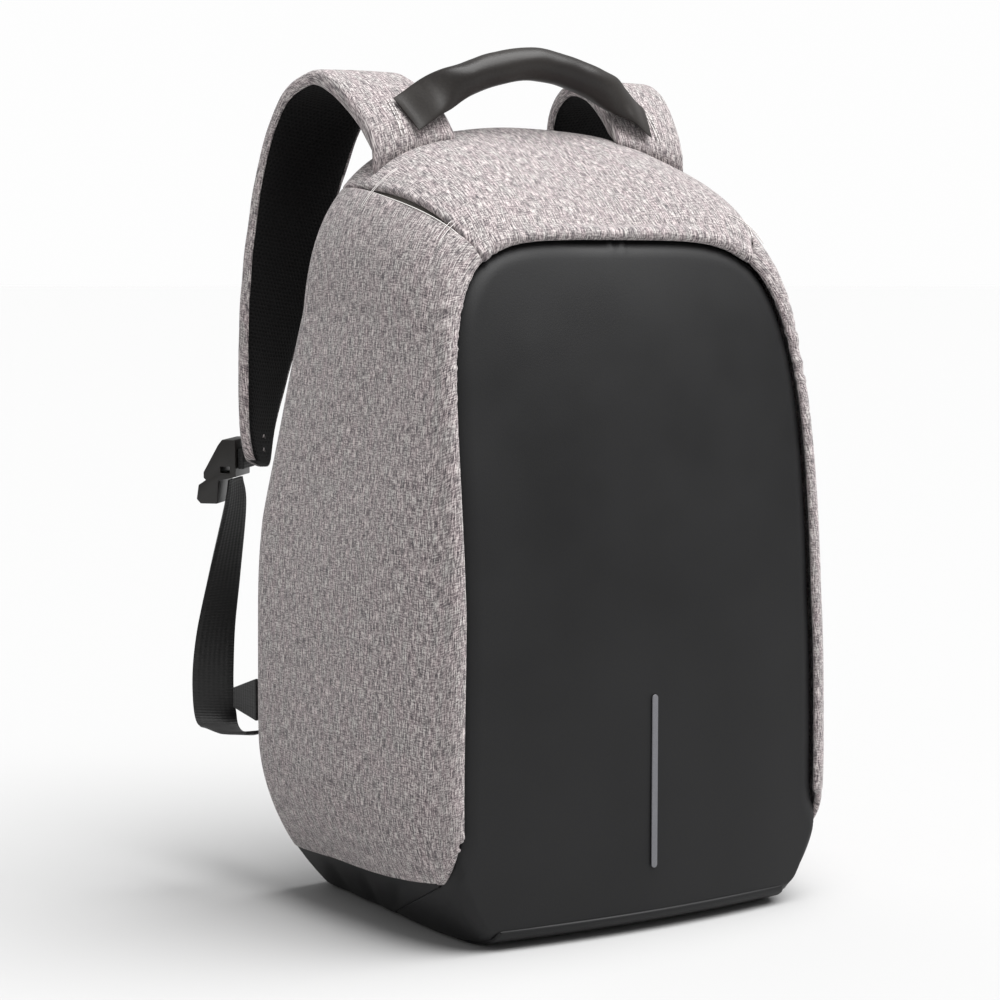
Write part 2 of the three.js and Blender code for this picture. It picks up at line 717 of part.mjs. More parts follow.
// The first section is cut to the top panel, so the strap stands on it along its width.
function strapPiece(outlineFor, caps) {
  const sizeAt = (f) => outlineFor((f.wide * strapWidth) / 2, (f.thick * strapThick) / 2);
  const rings = evenly(stepsOnStrap).map((t) => {
    const f = strapAt(t);
    return sizeAt(f).map((q) => {
      const p = f.middle.clone().addScaledVector(f.across, q.x).addScaledVector(f.face, q.y);
      if (t === 0) p.z = topSkinAt(p.x, p.y).z + seamGap * 2;
      return p;
    });
  });
  return sweptSolid(rings, caps);
}

function handle() {
  const seat = strapAt(handleSeat);
  const lift = strapThick * seat.thick * 0.5 + handleEndThick / 2 + seamGap * 2;
  const end = seat.middle.clone().addScaledVector(seat.face, lift);
  const lie = Math.atan2(seat.run.y, seat.run.z);
  const numbers = Array.from({ length: handleFacets }, (_, i) => i);
  const outline = numbers.map((i) => {
    const a = (i / handleFacets) * Math.PI * 2;
    return new THREE.Vector2(Math.cos(a), Math.sin(a));
  });
  const rings = evenly(stepsOnHandle).map((share) => {
    const t = share * 2 - 1;
    const spread = clamp((Math.abs(t) - 0.52) / 0.34, 0, 1);
    const ease = spread * spread * (3 - 2 * spread);
    const roll = lie * ease;
    const tall = lerp(handleTall, handleEndTall, ease) / 2;
    const deep = lerp(handleDeep, handleEndThick, ease) / 2;
    const slope = -handleRise * handlePower * Math.abs(t) ** (handlePower - 1) * Math.sign(t);
    const tilt = Math.atan2(slope, Math.abs(end.x)) * (1 - ease * 0.4);
    const rise = handleRise * (1 - Math.abs(t) ** handlePower);
    const middle = new THREE.Vector3(Math.abs(end.x) * t, end.y, end.z + rise);
    return outline.map((q) => {
      const up = q.x * tall;
      const out = q.y * deep;
      const y = up * Math.sin(roll) - out * Math.cos(roll);
      const z = up * Math.cos(roll) + out * Math.sin(roll);
      return new THREE.Vector3(middle.x - z * Math.sin(tilt), middle.y + y, middle.z + z * Math.cos(tilt));
    });
  });
  return sweptSolid(rings, [numbers]);
}

// Buckle: the wedge profile, pushed across the strap's foot.
function adjuster() {
  const corners = lockProfile.map((q) => new THREE.Vector2(q.deep * lockDepth, q.high * lockHeight));
  const shape = new THREE.Shape(corners);
  const slot = new THREE.Path();
  const left = lockSlot.deep * lockDepth;
  const low = lockSlot.high * lockHeight;
  slot.moveTo(left, low);
  slot.lineTo(left + lockSlot.wide * lockDepth, low);
  slot.lineTo(left + lockSlot.wide * lockDepth, low + lockSlot.tall * lockHeight);
  slot.lineTo(left, low + lockSlot.tall * lockHeight);
  shape.holes.push(slot);
  const body = new THREE.ExtrudeGeometry(shape, { depth: lockWidth, bevelEnabled: false });
  const out = new THREE.Vector3(strapFoot.face.x, strapFoot.face.y, 0).normalize();
  const up = new THREE.Vector3(0, 0, 1);
  const across = out.clone().cross(up);
  const corner = strapFoot.middle.clone();
  corner.addScaledVector(out, lockStandOff).addScaledVector(across, -lockWidth / 2);
  corner.z += lockRise - lockHeight;
  const frame = new THREE.Matrix4().makeBasis(out, up, across).setPosition(corner);
  return body.applyMatrix4(frame);
}

// A short doubled web sewn to the strap's outer face that carries the buckle.
function buckleTab() {
  const foot = strapFoot.middle;
  const out = new THREE.Vector3(strapFoot.face.x, strapFoot.face.y, 0).normalize();
  const across = out.clone().cross(new THREE.Vector3(0, 0, 1));
  const start = (strapThick * strapFoot.thick) / 2 + seamGap * 4;
  const deep = lockStandOff - seamGap - start;
  const tall = lockRise - 3;
  const tab = new THREE.BoxGeometry(deep, webWidth * 0.96, tall);
  const frame = new THREE.Matrix4().makeBasis(out, across.negate(), new THREE.Vector3(0, 0, 1));
  frame.setPosition(foot.clone().addScaledVector(out, start + deep / 2).setZ(foot.z + lockRise / 2 - 4));
  return tab.applyMatrix4(frame);
}

function webbing() {
  const webAt = bandRun(strapFoot.middle, webRows);
  const outline = [[-1, -1], [1, -1], [1, 1], [-1, 1]].map(([x, y]) => new THREE.Vector2(x, y));
  const rings = evenly(stepsOnWeb).map((t) => {
    const f = webAt(t);
    return outline.map((q) => f.middle.clone()
      .addScaledVector(f.across, (q.x * webWidth * f.wide) / 2)
      .addScaledVector(f.face, (q.y * webThick) / 2));
  });
  return sweptSolid(rings, [[0, 1, 2, 3]]);
}

// The anchor tab stands out of the rear seam, and its narrow end lies behind the webbing.
function anchorTab() {
  const share = shareAtHeight(crest.side, anchorHeight);
  const seat = leftSkin('side', share, anchorShare);
  const shape = new THREE.Shape([
    new THREE.Vector2(0, -tabTall / 2), new THREE.Vector2(tabLength, -tabPoint),
    new THREE.Vector2(tabLength, tabPoint / 3), new THREE.Vector2(0, tabTall / 2),
  ]);
  const plate = new THREE.ExtrudeGeometry(shape, { depth: tabThick, bevelEnabled: false });
  const frame = new THREE.Matrix4().makeBasis(
    new THREE.Vector3(0, 1, 0), new THREE.Vector3(0, 0, 1), new THREE.Vector3(1, 0, 0));
  frame.setPosition(seat.x - tabThick / 2, seat.y + tabThick + seamGap, seat.z);
  return plate.applyMatrix4(frame);
}

// Colours, roughness and metalness of the real materials.
const finish = (color, roughness, metalness = 0) =>
  () => new THREE.MeshStandardMaterial({ color, roughness, metalness });
const melange = finish(0xa59c9c, 0.9);
const coated = finish(0x343435, 0.55);
const meshCloth = finish(0x141414, 0.95);
const webCloth = finish(0x1b1a1a, 0.8);
const plastic = finish(0x24221f, 0.45);
const reflective = finish(0x86868a, 0.4, 0.1);
const liningCloth = finish(0x6b6662, 0.9);

const bag = new THREE.Group();

function add(name, geometry, material) {
  const mesh = new THREE.Mesh(geometry, material);
  mesh.name = name;
  bag.add(mesh);
  return mesh;
}

function addPair(name, geometry, material) {
  add(`${name}_left`, geometry, material());
  add(`${name}_right`, mirrored(geometry), material());
}

add('front_panel', frontPanel(), coated());
add('base_panel', basePanel(), coated());
addPair('base_gusset', gusset(), coated);
addPair('side_panel', sidePanel(), melange);
add('top_panel', topPanel(), melange());
addPair('slit_lining', slitLining(), liningCloth);
add('back_panel', backPanel(), meshCloth());
addPair('strap_cover', strapPiece(coverOutline, coverCaps), melange);
addPair('strap_pad', strapPiece(padOutline, padCaps), meshCloth);
add('top_handle', handle(), coated());
addPair('adjuster', adjuster(), plastic);
addPair('buckle_tab', buckleTab(), webCloth);
addPair('webbing', webbing(), webCloth);
addPair('anchor_tab', anchorTab(), webCloth);

const strip = add('reflective_strip', reflectiveStrip(), reflective());
strip.rotation.x = Math.PI / 2;
strip.position.set(0, leanAt(frontOutline, stripFoot) - panelDome - seamGap, stripFoot);

// The origin is the middle of the footprint, on the surface that the bag stands on.
bag.updateMatrixWorld(true);
const box = new THREE.Box3().setFromObject(bag, true);
bag.position.set(0, -(box.min.y + box.max.y) / 2, -box.min.z);
bag.updateMatrixWorld(true);

export default bag;
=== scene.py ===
# %% [markdown]
# An anti-theft backpack. Its body is a shell of melange cloth sewn round a coated front panel,
# and it stands on a coated base. The CAD frame gives every piece its size and place. Here each
# sewn piece is laid again as a fine sheet of cloth on the same form, with its hems, folds and
# stitches, and each finish gets a material with the scale of the real cloth.

# %% Load the frame
import math

import bpy
import numpy as np
from mathutils import Matrix, Vector


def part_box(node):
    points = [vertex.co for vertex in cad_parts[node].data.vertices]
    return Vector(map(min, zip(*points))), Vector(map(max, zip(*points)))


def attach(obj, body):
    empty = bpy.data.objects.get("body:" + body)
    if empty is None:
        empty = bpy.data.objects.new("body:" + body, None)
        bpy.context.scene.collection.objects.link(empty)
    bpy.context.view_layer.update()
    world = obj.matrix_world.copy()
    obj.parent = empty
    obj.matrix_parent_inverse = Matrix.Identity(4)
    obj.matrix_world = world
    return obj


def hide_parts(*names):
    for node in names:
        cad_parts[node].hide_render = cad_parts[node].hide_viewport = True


MM = 0.001
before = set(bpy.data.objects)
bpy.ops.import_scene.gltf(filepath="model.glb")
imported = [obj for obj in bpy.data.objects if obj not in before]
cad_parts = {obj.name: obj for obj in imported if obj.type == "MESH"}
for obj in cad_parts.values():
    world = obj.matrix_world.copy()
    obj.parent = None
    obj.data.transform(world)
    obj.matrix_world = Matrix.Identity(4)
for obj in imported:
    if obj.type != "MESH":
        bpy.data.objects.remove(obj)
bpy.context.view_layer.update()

# %% [markdown]
# The body is a loft between two outlines: the front panel's, and the crest that the side and
# top panels bulge out to before they turn in to the back. The same sizes drive the CAD frame,
# so a sheet laid on this form falls on its solid. They are in millimetres.

# %% The sizes of the body
BODY_HEIGHT, BODY_WIDTH, BODY_DEPTH = 446, 301, 187
PANEL_HEIGHT, PANEL_WIDTH = 385, 241
FLOOR_LIFT, FOOT_RADIUS, BACK_INSET = 11, 12, 9
SEAM_GAP, PANEL_INSET, BACK_CLEARANCE = 0.5, 1.1, 1.9
FRONT = dict(
    height=PANEL_HEIGHT, width=PANEL_WIDTH, floor=FLOOR_LIFT, foot_wide=0.88, widest_at=0.17,
    shoulder_wide=0.98, shoulder_at=0.47, squareness=4.8, slit_angle=1.02,
    start=-0.5, lean=0.173, lean_from=0.33, lean_power=2.1,
)
CREST = dict(
    height=BODY_HEIGHT, width=BODY_WIDTH, floor=0, foot_wide=0.72, widest_at=0.215,
    shoulder_wide=0.871, shoulder_at=0.767, squareness=2.76, slit_angle=0.618,
    start=0.428, lean=-0.256, lean_from=0.496, lean_power=1.2,
)
SIDE_FULLNESS, TOP_FULLNESS, FLOOR_ROUND, PANEL_DOME = 2, 1.12, 0.25, 7
GUSSET_FRONT, GUSSET_BACK, GUSSET_START = 44, 38, 2  # the seam as photographed, just above the solid's
SWEEP_HEIGHT, SWEEP_SHOULDER, SWEEP_ROUND, SWEEP_REACH = 66, 47.5, 20, 100
RIM_PROUD, RIM_WIDTH, RIM_FADE = 2.4, 8, 0.62
SLIT_WIDTH, SLIT_END, LINING_WIDE, LINING_DEEP = 3.6, 0.9, 24, 3.2
HEM_RADIUS = 1.3
OUTLINE_STEPS = 400
strip_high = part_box("reflective_strip")[1]
BODY_SHIFT = strip_high.y / MM + BODY_DEPTH / 2 + PANEL_DOME + SEAM_GAP
HEART = np.array([0, 0, BODY_HEIGHT * 0.45])
print("the body's middle lies at y =", round(BODY_SHIFT, 2), "mm")

# %% The two outlines
def mix(a, b, t):
    return a + (b - a) * t


def measured(x, z):
    """A line with its running length at each point."""
    run = np.concatenate([[0], np.cumsum(np.hypot(np.diff(x), np.diff(z)))])
    return {"x": x, "z": z, "run": run, "total": run[-1]}


def half_outline(o):
    """Half an outline as three lines: along the floor, up the side, and over the top."""
    widest = o["width"] / 2
    foot, shoulder = widest * o["foot_wide"], widest * o["shoulder_wide"]
    z_wide, z_shoulder = o["height"] * o["widest_at"], o["height"] * o["shoulder_at"]
    flare = 0
    for _ in range(20):
        rise = z_wide - o["floor"] - FOOT_RADIUS * (1 - math.sin(flare))
        flare = math.atan2(2 * (widest - foot), rise)
    z_foot = o["floor"] + FOOT_RADIUS * (1 - math.sin(flare))
    corner = foot - FOOT_RADIUS * math.cos(flare)

    def arch(angle):
        power = 2 / o["squareness"]
        return shoulder * np.cos(angle) ** power, mix(z_shoulder, o["height"], np.sin(angle) ** power)

    a = np.linspace(0, math.pi / 2 - flare, OUTLINE_STEPS // 4)
    z = np.linspace(z_foot, z_shoulder, OUTLINE_STEPS)[1:]
    end = np.where(z < z_wide, foot, shoulder)
    reach = np.where(z < z_wide, z_wide - z_foot, z_shoulder - z_wide)
    bow = widest - (widest - end) * ((z - z_wide) / reach) ** 2
    x_arch, z_arch = arch(np.linspace(0, o["slit_angle"], OUTLINE_STEPS)[1:])
    side_x = np.concatenate([corner + FOOT_RADIUS * np.sin(a), bow, x_arch])
    side_z = np.concatenate([o["floor"] + FOOT_RADIUS * (1 - np.cos(a)), z, z_arch])
    top = arch(np.linspace(o["slit_angle"], math.pi / 2, OUTLINE_STEPS))
    floor = measured(np.array([0, corner]), np.array([o["floor"], o["floor"]]))
    return {"floor": floor, "side": measured(side_x, side_z), "top": measured(*top), "corner": corner}


front, crest = half_outline(FRONT), half_outline(CREST)
lengths = {name: round(front[name]["total"]) for name in ("floor", "side", "top")}
print("half the front outline in mm:", lengths)

# %% [markdown]
# A point of the skin is named by its piece, by a share s along the outline and by a depth
# share v: 0 is the front edge, 1 the crest and 2 the back edge. Working in whole arrays makes
# it quick enough to lay sheets of many thousand points.

# %% The skin of the body
def along(line, share):
    run = np.clip(share, 0, 1) * line["total"]
    return np.interp(run, line["run"], line["x"]), np.interp(run, line["run"], line["z"])


def share_at_height(line, z):
    return np.interp(z, line["z"], line["run"]) / line["total"]


def outward(line, share, step=0.005):
    ax, az = along(line, share - step)
    bx, bz = along(line, share + step)
    length = np.hypot(bx - ax, bz - az)
    return (bz - az) / length, (ax - bx) / length


def lean(o, z):
    t = np.clip((z / o["height"] - o["lean_from"]) / (1 - o["lean_from"]), 0, 1)
    return BODY_DEPTH * (o["start"] + o["lean"] * t ** o["lean_power"])


def dome(x, half_width, z):
    across = 1 - np.minimum(np.abs(x) / half_width, 1) ** 2
    return PANEL_DOME * across * (1 - np.clip(z / PANEL_HEIGHT, 0, 1) ** 8)


def skin(piece, s, v, inset=0):
    s, v = np.broadcast_arrays(np.asarray(s, float), np.asarray(v, float))
    fx, fz = along(front[piece], s)
    cx, cz = along(crest[piece], s)
    nx, nz = (0 * s, 0 * s - 1) if piece == "floor" else outward(crest[piece], s)
    fullness = np.where(nz < 0, SIDE_FULLNESS, mix(TOP_FULLNESS, SIDE_FULLNESS, np.abs(nx)))
    reach = mix(1, FLOOR_ROUND, np.maximum(0, -nz))
    swell = (1 - (1 - np.minimum(v / reach, 1)) ** fullness) ** (1 / fullness)
    y_front = lean(FRONT, fz)
    if piece == "floor":
        y_front = y_front - dome(fx, front["corner"], fz)
    turn = np.maximum(0, v - 1) * math.pi / 2
    pull = BACK_INSET * (1 - np.cos(turn)) + inset
    behind = BODY_DEPTH * (0.5 - CREST["start"]) * np.sin(turn)
    y = mix(y_front, lean(CREST, cz), np.minimum(v, 1)) + behind
    return np.stack([mix(fx, cx, swell) - nx * pull, y, mix(fz, cz, swell) - nz * pull], -1)


DEPTH_RUN = lean(CREST, 0) - lean(FRONT, 0)
sweep_depths = np.linspace(0, SWEEP_REACH, OUTLINE_STEPS)


def sweep_at(depth):
    """The height of the front panel's swept edge at a depth behind the front."""
    fall = mix(SWEEP_SHOULDER, FLOOR_LIFT, np.clip(depth / SWEEP_REACH, 0, 1))
    t = np.clip(1 - depth / SWEEP_ROUND, 0, 1)
    return fall + (SWEEP_HEIGHT - SWEEP_SHOULDER) * (1 - np.sqrt(1 - t * t))


def sweep_depth(z):
    return np.interp(z, sweep_at(sweep_depths)[::-1], sweep_depths[::-1])


def front_half_width(z):
    high = front["side"]["z"][-1]
    low_x = along(front["side"], share_at_height(front["side"], z))[0]
    top_x = along(front["top"], share_at_height(front["top"], z))[0]
    return np.where(z < high, low_x, np.maximum(top_x, 1))


def gusset_top(v):
    return mix(GUSSET_FRONT, GUSSET_BACK, np.minimum(v, 1))


def slit_share(piece, v):
    """Half the slit's width as a share of the outline: it gapes in the middle of its length."""
    gape = np.sin(math.pi * np.clip(v / 0.96, 0, 1)) ** 1.4
    length = mix(front[piece]["total"], crest[piece]["total"], np.minimum(v, 1))
    return (SLIT_END + 2 * HEM_RADIUS + SLIT_WIDTH * gape) / 2 / length


print("the side at half height lies at", skin("side", 0.5, 0.5).round(1))

# %% [markdown]
# Every sheet starts as a grid primitive whose points are then moved on to the form, and its
# UV map is laid out by running length, in metres, so a weave keeps its real thread spacing
# wherever the cloth curves. Hems are rolled under at the borders before a Solidify modifier
# gives the cloth its thickness.

# %% Helpers for modelling by operators
EVERY_EDGE = ("left", "right", "low", "high")


def only(piece):
    bpy.ops.object.select_all(action="DESELECT")
    piece.select_set(True)
    bpy.context.view_layer.objects.active = piece


def edit(piece, *steps):
    """Runs operators in edit mode on the whole piece. A step is an operator and its settings."""
    only(piece)
    bpy.ops.object.mode_set(mode="EDIT")
    bpy.ops.mesh.select_all(action="SELECT")
    for operator, settings in steps:
        operator(**settings)
    bpy.ops.object.mode_set(mode="OBJECT")


def modify(piece, kind, **settings):
    only(piece)
    bpy.ops.object.modifier_add(type=kind)
    modifier = piece.modifiers[-1]
    for name, value in settings.items():
        setattr(modifier, name, value)
    bpy.ops.object.modifier_apply(modifier=modifier.name)


def unit(vectors):
    return vectors / np.maximum(np.linalg.norm(vectors, axis=-1, keepdims=True), 1e-9)


def running(points, axis):
    """The running length along an axis of a grid of points, from its middle."""
    steps = np.linalg.norm(np.diff(points, axis=axis), axis=-1)
    run = np.insert(np.cumsum(steps, axis=axis), 0, 0, axis=axis)
    return run - np.take(run, [run.shape[axis] // 2], axis)


print("a sheet has four edges that can be hemmed:", EVERY_EDGE)


# %% Helpers for laying sheets
def sheet_piece(name, points, turned=False):
    """A grid primitive laid on points, in rows and columns. Turned runs the warp along the rows."""
    rows, columns = points.shape[:2]
    bpy.ops.object.select_all(action="DESELECT")
    bpy.ops.mesh.primitive_grid_add(x_subdivisions=columns - 1, y_subdivisions=rows - 1, size=1)
    piece = bpy.context.object
    piece.name = piece.data.name = name
    places = (points.reshape(-1, 3) + (0, BODY_SHIFT, 0)) * MM
    piece.data.vertices.foreach_set("co", places.astype(np.float32).ravel())
    uv = [running(points, 1) * MM, running(points, 0) * MM]
    uv = np.stack(uv[::-1] if turned else uv, -1).reshape(-1, 2)
    corners = np.empty(len(piece.data.loops), np.int32)
    piece.data.loops.foreach_get("vertex_index", corners)
    piece.data.uv_layers.active.data.foreach_set("uv", uv[corners].astype(np.float32).ravel())
    piece.data.update()
    return piece


def normals_of(points, heart=HEART):
    """The normals of a grid of points, pointing away from the heart of the bag."""
    n = unit(np.cross(np.gradient(points, axis=0), np.gradient(points, axis=1)))
    return n if ((points - heart) * n).sum() > 0 else -n


def turn_under(points, normals, edge, radius, degrees, steps=6):
    """Rolls one border of a sheet inwards, as a hem does, and returns the longer grid."""
    axis = 0 if edge in ("low", "high") else 1
    first = edge in ("low", "left")
    line, inner = (np.take(points, i, axis) for i in ((0, 1) if first else (-1, -2)))
    n = np.take(normals, 0 if first else -1, axis)
    out = unit(np.cross(n, np.gradient(line, axis=0)))
    if (out * (line - inner)).sum() < 0:
        out = -out
    a = np.radians(np.linspace(0, degrees, steps + 1)[1:])[:, None, None]
    roll = line + radius * (np.sin(a) * out - (1 - np.cos(a)) * n)
    turned = n * np.cos(a) + out * np.sin(a)
    if axis == 1:
        roll, turned = roll.transpose(1, 0, 2), turned.transpose(1, 0, 2)
    if first:
        roll, turned = np.flip(roll, axis), np.flip(turned, axis)
        return np.concatenate([roll, points], axis), np.concatenate([turned, normals], axis)
    return np.concatenate([points, roll], axis), np.concatenate([normals, turned], axis)


def sewn_cloth(name, points, hems, thick, turned=False):
    """A sheet with its hems rolled under and a wall of cloth, facing away from the heart."""
    normals = normals_of(points)
    for edge, (radius, degrees) in hems.items():
        points, normals = turn_under(points, normals, edge, radius, degrees)
    piece = sheet_piece(name, points, turned)
    middle = piece.data.polygons[len(piece.data.polygons) // 2]
    place = np.array(middle.center) / MM - (0, BODY_SHIFT, 0) - HEART
    if np.dot(place, middle.normal) < 0:
        edit(piece, (bpy.ops.mesh.flip_normals, {}))
    modify(piece, "SOLIDIFY", thickness=thick * MM, offset=-1, use_even_offset=False)
    bpy.ops.object.shade_smooth()
    middle_runs = (running(points, 1)[len(points) // 2], running(points, 0)[:, points.shape[1] // 2])
    flat = [round(float(np.ptp(run))) for run in middle_runs]
    print(name, "measures", flat[0], "x", flat[1], "mm along its middle lines, hems included")
    return piece


def dents(points, size, height, seed, count=12):
    """Low soft dents: a few plane waves in chance directions, from a fixed seed."""
    chance = np.random.default_rng(seed)
    total = 0
    for _ in range(count):
        wave = points @ unit(chance.normal(size=3)) / (size * chance.uniform(0.7, 1.5))
        total = total + np.sin(2 * math.pi * wave + chance.uniform(0, 2 * math.pi))
    return total * height / math.sqrt(count)


def fade(x, start, end):
    """A smooth step from 0 at start to 1 at end."""
    t = np.clip((x - start) / (end - start), 0, 1)
    return t * t * (3 - 2 * t)


# %% [markdown]
# Materials are made before the pieces, so that each piece can be finished as soon as it is
# laid. Colours are given as they look, in sRGB hex, and one function turns them to the linear
# values that Blender works in. Another adds a node with its settings and links.

# %% Helpers for materials
def linear(hex_colour):
    channels = [int(hex_colour[i : i + 2], 16) / 255 for i in (0, 2, 4)]
    return tuple(c / 12.92 if c <= 0.04045 else ((c + 0.055) / 1.055) ** 2.4 for c in channels) + (1,)


def add_node(tree, kind, inputs, stops=(), **settings):
    """Adds a node. An input is a value or a feeding socket, and stops are a ramp's colours."""
    made = tree.nodes.new(kind)
    for name, value in settings.items():
        setattr(made, name, value)
    for name, value in inputs.items():
        if isinstance(value, bpy.types.NodeSocket):
            tree.links.new(value, made.inputs[name])
        else:
            made.inputs[name].default_value = value
    for i, (position, colour) in enumerate(stops):
        elements = made.color_ramp.elements
        element = elements[i] if i < len(elements) else elements.new(position)
        element.position = position
        element.color = linear(colour)
    return made


def new_material(name, roughness, **sockets):
    """A material with one Principled shader, whose plain values sit on its own sockets."""
    material = bpy.data.materials.new(name)
    material.use_nodes = True
    shader = material.node_tree.nodes["Principled BSDF"]
    shader.inputs["Roughness"].default_value = roughness
    for socket, value in sockets.items():
        shader.inputs[socket.replace("_", " ")].default_value = value
    return material, material.node_tree, shader


def grain(tree, place, across, length, detail, roughness=0.6):
    """A noise whose grains measure across by length, in millimetres."""
    size = (1 / (across * MM), 1 / (length * MM), 1 / (across * MM))
    sized = add_node(tree, "ShaderNodeMapping", {"Vector": place, "Scale": size}).outputs["Vector"]
    inputs = {"Vector": sized, "Scale": 1, "Detail": detail, "Roughness": roughness}
    return add_node(tree, "ShaderNodeTexNoise", inputs).outputs["Fac"]


def layered(tree, *layers):
    """The sum of patterns, each with its share."""
    total = 0.0
    for share, pattern in layers:
        inputs = {0: pattern, 1: share, 2: total}
        total = add_node(tree, "ShaderNodeMath", inputs, operation="MULTIPLY_ADD").outputs[0]
    return total


print("black coating in linear colour:", [round(c, 4) for c in linear("161617")[:3]])

# %% [markdown]
# Melange cloth is a plain weave of 300-denier polyester whose yarns are spun from fibres dyed
# light and dark, so every thread changes shade along its length. It could be an image of cloth,
# but a pattern made of nodes has no seam and no fixed size. Warp and weft are each a noise
# stretched along the thread, with a finer speckle of single fibres. The eye gets a grey that
# breaks up into short upright dashes, and a soft edge from the sheen of loose fibre ends. Real
# threads are about 0.4 mm apart. They are drawn at 0.68 mm, as coarse as the picture resolves.

# %% Melange cloth
THREAD = 0.68


def melange_cloth(name, dark, middle, light):
    material, tree, shader = new_material(
        name, 0.9, IOR=1.45, Sheen_Weight=0.25, Sheen_Roughness=0.6, Specular_IOR_Level=0.3
    )
    uv = add_node(tree, "ShaderNodeTexCoord", {}).outputs["UV"]
    warp = grain(tree, uv, THREAD, THREAD * 9, 1, 0.5)
    weft = grain(tree, uv, THREAD * 6, THREAD, 1, 0.5)
    fibres = grain(tree, uv, THREAD * 1.2, THREAD * 1.6, 1)
    yarn = layered(tree, (0.45, warp), (0.27, weft), (0.28, fibres))
    dyed = add_node(
        tree, "ShaderNodeValToRGB", {"Fac": yarn}, [(0.38, dark), (0.49, middle), (0.60, light)]
    ).outputs["Color"]
    batches = grain(tree, uv, 5, 16, 2)
    tint = add_node(
        tree, "ShaderNodeValToRGB", {"Fac": batches}, [(0.35, "fdf4f5"), (0.65, "f5f5f3")]
    ).outputs["Color"]
    both = {0: 1.0, 6: dyed, 7: tint}
    woven = add_node(tree, "ShaderNodeMix", both, data_type="RGBA", blend_type="MULTIPLY").outputs[2]
    tree.links.new(woven, shader.inputs["Base Color"])
    relief = add_node(tree, "ShaderNodeBump", {"Height": yarn, "Distance": 0.6 * MM, "Strength": 0.75})
    tree.links.new(relief.outputs["Normal"], shader.inputs["Normal"])
    return material


cloth_of_sides = melange_cloth("melange polyester weave", "413d42", "8a8384", "d6d2d0")
print("made", cloth_of_sides.name, "with threads of", THREAD, "mm")

# %% [markdown]
# The front, the base and the handle are a fine polyester coated with polyurethane. The coating
# is rolled on and takes a faint grain of about a millimetre, which gives the eye a nearly black
# face with a broad dull gloss. One even roughness would look like plastic sheet, so the gloss
# varies slowly, as the coating's thickness does, and the grain is a shallow bump.

# %% Coated cloth
def coated_cloth(name, colour, worn, roughness, size):
    material, tree, shader = new_material(name, roughness, IOR=1.47, Specular_IOR_Level=0.32)
    place = add_node(tree, "ShaderNodeTexCoord", {}).outputs["Object"]
    fine = grain(tree, place, size, size, 3, 0.65)
    broad = grain(tree, place, 70, 90, 2)
    tone = layered(tree, (0.7, broad), (0.3, fine))
    colours = add_node(tree, "ShaderNodeValToRGB", {"Fac": tone}, [(0.38, colour), (0.62, worn)])
    tree.links.new(colours.outputs["Color"], shader.inputs["Base Color"])
    inputs = {"Value": broad, "From Min": 0.3, "From Max": 0.7}
    inputs |= {"To Min": roughness - 0.05, "To Max": roughness + 0.06}
    gloss = add_node(tree, "ShaderNodeMapRange", inputs)
    tree.links.new(gloss.outputs["Result"], shader.inputs["Roughness"])
    relief = add_node(tree, "ShaderNodeBump", {"Height": fine, "Distance": 0.12 * MM, "Strength": 0.5})
    tree.links.new(relief.outputs["Normal"], shader.inputs["Normal"])
    return material


coated_panel = coated_cloth("polyurethane coated polyester", "161617", "1b1b1c", 0.5, 0.9)
coated_handle = coated_cloth("coated polyester, padded", "242120", "322f2c", 0.42, 1.6)
print("made", coated_panel.name, "and", coated_handle.name)

# %% [markdown]
# Spacer mesh is a black knit with rows of small holes, set like a honeycomb about 2.6 mm
# apart. The holes could be cut in the mesh, but there are many thousands. Two grids of dots,
# one moved by half a step, give the same lattice: the distance to the nearest dot makes the
# holes, which lie deeper and are painted darker as the shade inside them. The eye gets a dull
# black with a fine slanting grid.

# %% Spacer mesh
HOLE_STEP, ROW_RATIO = 2.6, 1.732


def spacer_mesh():
    material, tree, shader = new_material(
        "polyester spacer mesh", 0.88, IOR=1.45, Specular_IOR_Level=0.25
    )
    uv = add_node(tree, "ShaderNodeTexCoord", {}).outputs["UV"]
    size = (1 / (HOLE_STEP * MM), 1 / (HOLE_STEP * ROW_RATIO * MM), 1)
    to_dots = []
    for shift in (0.0, 0.5):
        inputs = {"Vector": uv, "Scale": size, "Location": (shift, shift, 0)}
        cell = add_node(tree, "ShaderNodeMapping", inputs).outputs["Vector"]
        cell = add_node(tree, "ShaderNodeVectorMath", {0: cell}, operation="FRACTION").outputs[0]
        for operation, by in (("SUBTRACT", (0.5, 0.5, 0)), ("MULTIPLY", (1, ROW_RATIO, 0))):
            cell = add_node(tree, "ShaderNodeVectorMath", {0: cell, 1: by}, operation=operation).outputs[0]
        length = add_node(tree, "ShaderNodeVectorMath", {0: cell}, operation="LENGTH")
        to_dots.append(length.outputs["Value"])
    nearest = add_node(tree, "ShaderNodeMath", dict(enumerate(to_dots)), operation="MINIMUM").outputs[0]
    yarn = grain(tree, uv, 0.5, 0.9, 2)
    knit = add_node(tree, "ShaderNodeValToRGB", {"Fac": yarn}, [(0.35, "0b0a0a"), (0.65, "181617")])
    inputs = {"Value": nearest, "From Min": 0.2, "From Max": 0.36}
    raised = add_node(tree, "ShaderNodeMapRange", inputs, clamp=True).outputs["Result"]
    # painted shade: the holes are mixed to near black for the shade that falls inside them
    inputs = {0: raised, 6: linear("050505"), 7: knit.outputs["Color"]}
    painted_hole_shade = add_node(tree, "ShaderNodeMix", inputs, data_type="RGBA", blend_type="MIX")
    tree.links.new(painted_hole_shade.outputs[2], shader.inputs["Base Color"])
    height = layered(tree, (1.0, raised), (0.25, yarn))
    relief = add_node(tree, "ShaderNodeBump", {"Height": height, "Distance": 0.8 * MM, "Strength": 0.8})
    tree.links.new(relief.outputs["Normal"], shader.inputs["Normal"])
    return material


